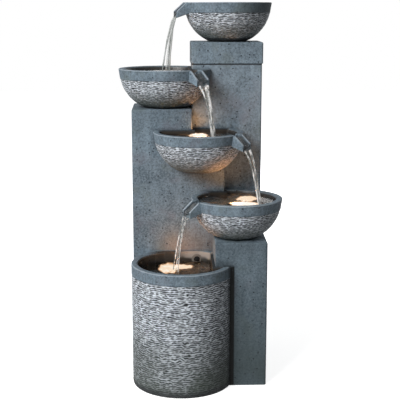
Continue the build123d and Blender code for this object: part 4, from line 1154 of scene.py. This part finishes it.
def add_sheet(name, rows):
    """Open grid of points (row, column, xyz): each corner joins the next in its row and both in the next row."""
    index = np.arange(rows.shape[0] * rows.shape[1]).reshape(rows.shape[:2])
    faces = np.stack([index[:-1, :-1], index[:-1, 1:], index[1:, 1:], index[1:, :-1]], -1).reshape(-1, 4)
    return add_object(name, rows.reshape(-1, 3), faces.tolist())


def paper(wire, place):
    """Off-white of the floor and the card, with soft clouds."""
    return noise(wire, place, 3.0).between(rgb(0.90, 0.90, 0.90), rgb(0.93, 0.93, 0.93))


def make_floor():
    """Flat grid that glows more and more from the middle outwards, so that its far part is white."""
    lines = np.linspace(-FLOOR_HALF, FLOOR_HALF, 13)
    x, y = np.meshgrid(lines, lines)
    piece = add_sheet("floor", np.stack([x, y, np.zeros_like(x)], -1))
    material, wire, shader = finish("floor_finish")
    place = own_place(wire)
    away = wire.node("ShaderNodeVectorMath", {"operation": "LENGTH"}, {0: place}, out=1)
    feed(shader, Base_Color=paper(wire, place),
         Emission_Color=away.step(0.5, 1.8).between(rgb(0.74, 0.74, 0.74), WHITE), Roughness=0.9,
         Specular_IOR_Level=0.0, Emission_Strength=1.0)
    piece.data.materials.append(material)
    piece.visible_diffuse = piece.visible_glossy = piece.visible_transmission = piece.visible_shadow = False
    return piece


def make_sweep():
    """Card for reflections: a profile of floor, quarter circle and wall, carried sideways."""
    bend = quarter((1.4, CARD_BEND), CARD_BEND, -np.pi / 2, 14)[1:]
    profile = np.concatenate([straight((-4.0, 0.0), (1.4, 0.0), 12), bend,
                              straight((2.6, CARD_BEND), (2.6, 4.0), 6)[1:]])
    x, row = np.meshgrid(np.linspace(-CARD_HALF, CARD_HALF, 9), np.arange(len(profile)))
    piece = add_sheet("sweep", np.concatenate([x[..., None], profile[row]], -1))
    material, wire, shader = finish("sweep_finish")
    feed(shader, Base_Color=paper(wire, own_place(wire)), Roughness=0.9, Emission_Color=WHITE,
         Emission_Strength=0.72)
    piece.data.materials.append(material)
    piece.visible_camera = piece.visible_diffuse = piece.visible_shadow = False
    return piece


print("stage", make_floor().name, make_sweep().name)

# %% Lights and world
LAMP_WARM = (1.0, 0.43, 0.16)
LAMP_SIZE = 0.03
WORLD_LIGHT = 0.18


def add_area(name, place, target, size, power, colour=(1.0, 1.0, 1.0)):
    """Square area light at a place, turned to face a target."""
    lamp = bpy.data.lights.new(name, "AREA")
    lamp.size = size
    lamp.energy = power
    lamp.color = colour
    piece = bpy.data.objects.new(name, lamp)
    piece.location = place
    way = np.array(target) - np.array(place)
    flat = math.hypot(way[0], way[1])
    piece.rotation_euler = (math.atan2(flat, -way[2]), 0.0, math.atan2(-way[0], way[1]))
    scene.collection.objects.link(piece)
    return piece


add_area("key_light", (-2.2, -2.6, 2.6), (0.0, 0.0, 0.55), 2.0, 146.0)
back_light = add_area("back_light", (1.6, 3.2, 0.6), (0.0, 0.0, 0.5), 1.4, 70.0)
back_light.visible_camera = back_light.visible_glossy = back_light.visible_transmission = False
# Each lamp's light: its place in plan, its height and its power; it shines straight up.
lamp_lights = {
    "left_glow": (-36.0, 32.0, 822.0, 0.010),
    "cap_glow": (90.0, 22.0, 898.0, 0.0008),
    "middle_glow": (2.0, 2.0, 664.0, 0.047),
    "right_glow": (76.0, -80.0, 499.0, 0.145),
    "basin_glow": (-58.0, -52.0, 318.0, 0.058),
    "basin_front_glow": (-30.0, -98.0, 304.0, 0.06),
}
for key, (x, y, level, power) in lamp_lights.items():
    place = np.array([x + SHIFT[0], y + SHIFT[1], level]) * MM
    add_area(key, place, place + np.array([0.0, 0.0, 1.0]), LAMP_SIZE, power, LAMP_WARM)
world = bpy.data.worlds.new("studio")
world.use_nodes = True
seen = Wire(world.node_tree).node("ShaderNodeLightPath")
feed(world.node_tree.nodes["Background"], Color=WHITE, Strength=WORLD_LIGHT + seen * (1.0 - WORLD_LIGHT))
scene.world = world
scene.view_settings.view_transform = "Standard"
print("lights", len(bpy.data.lights))
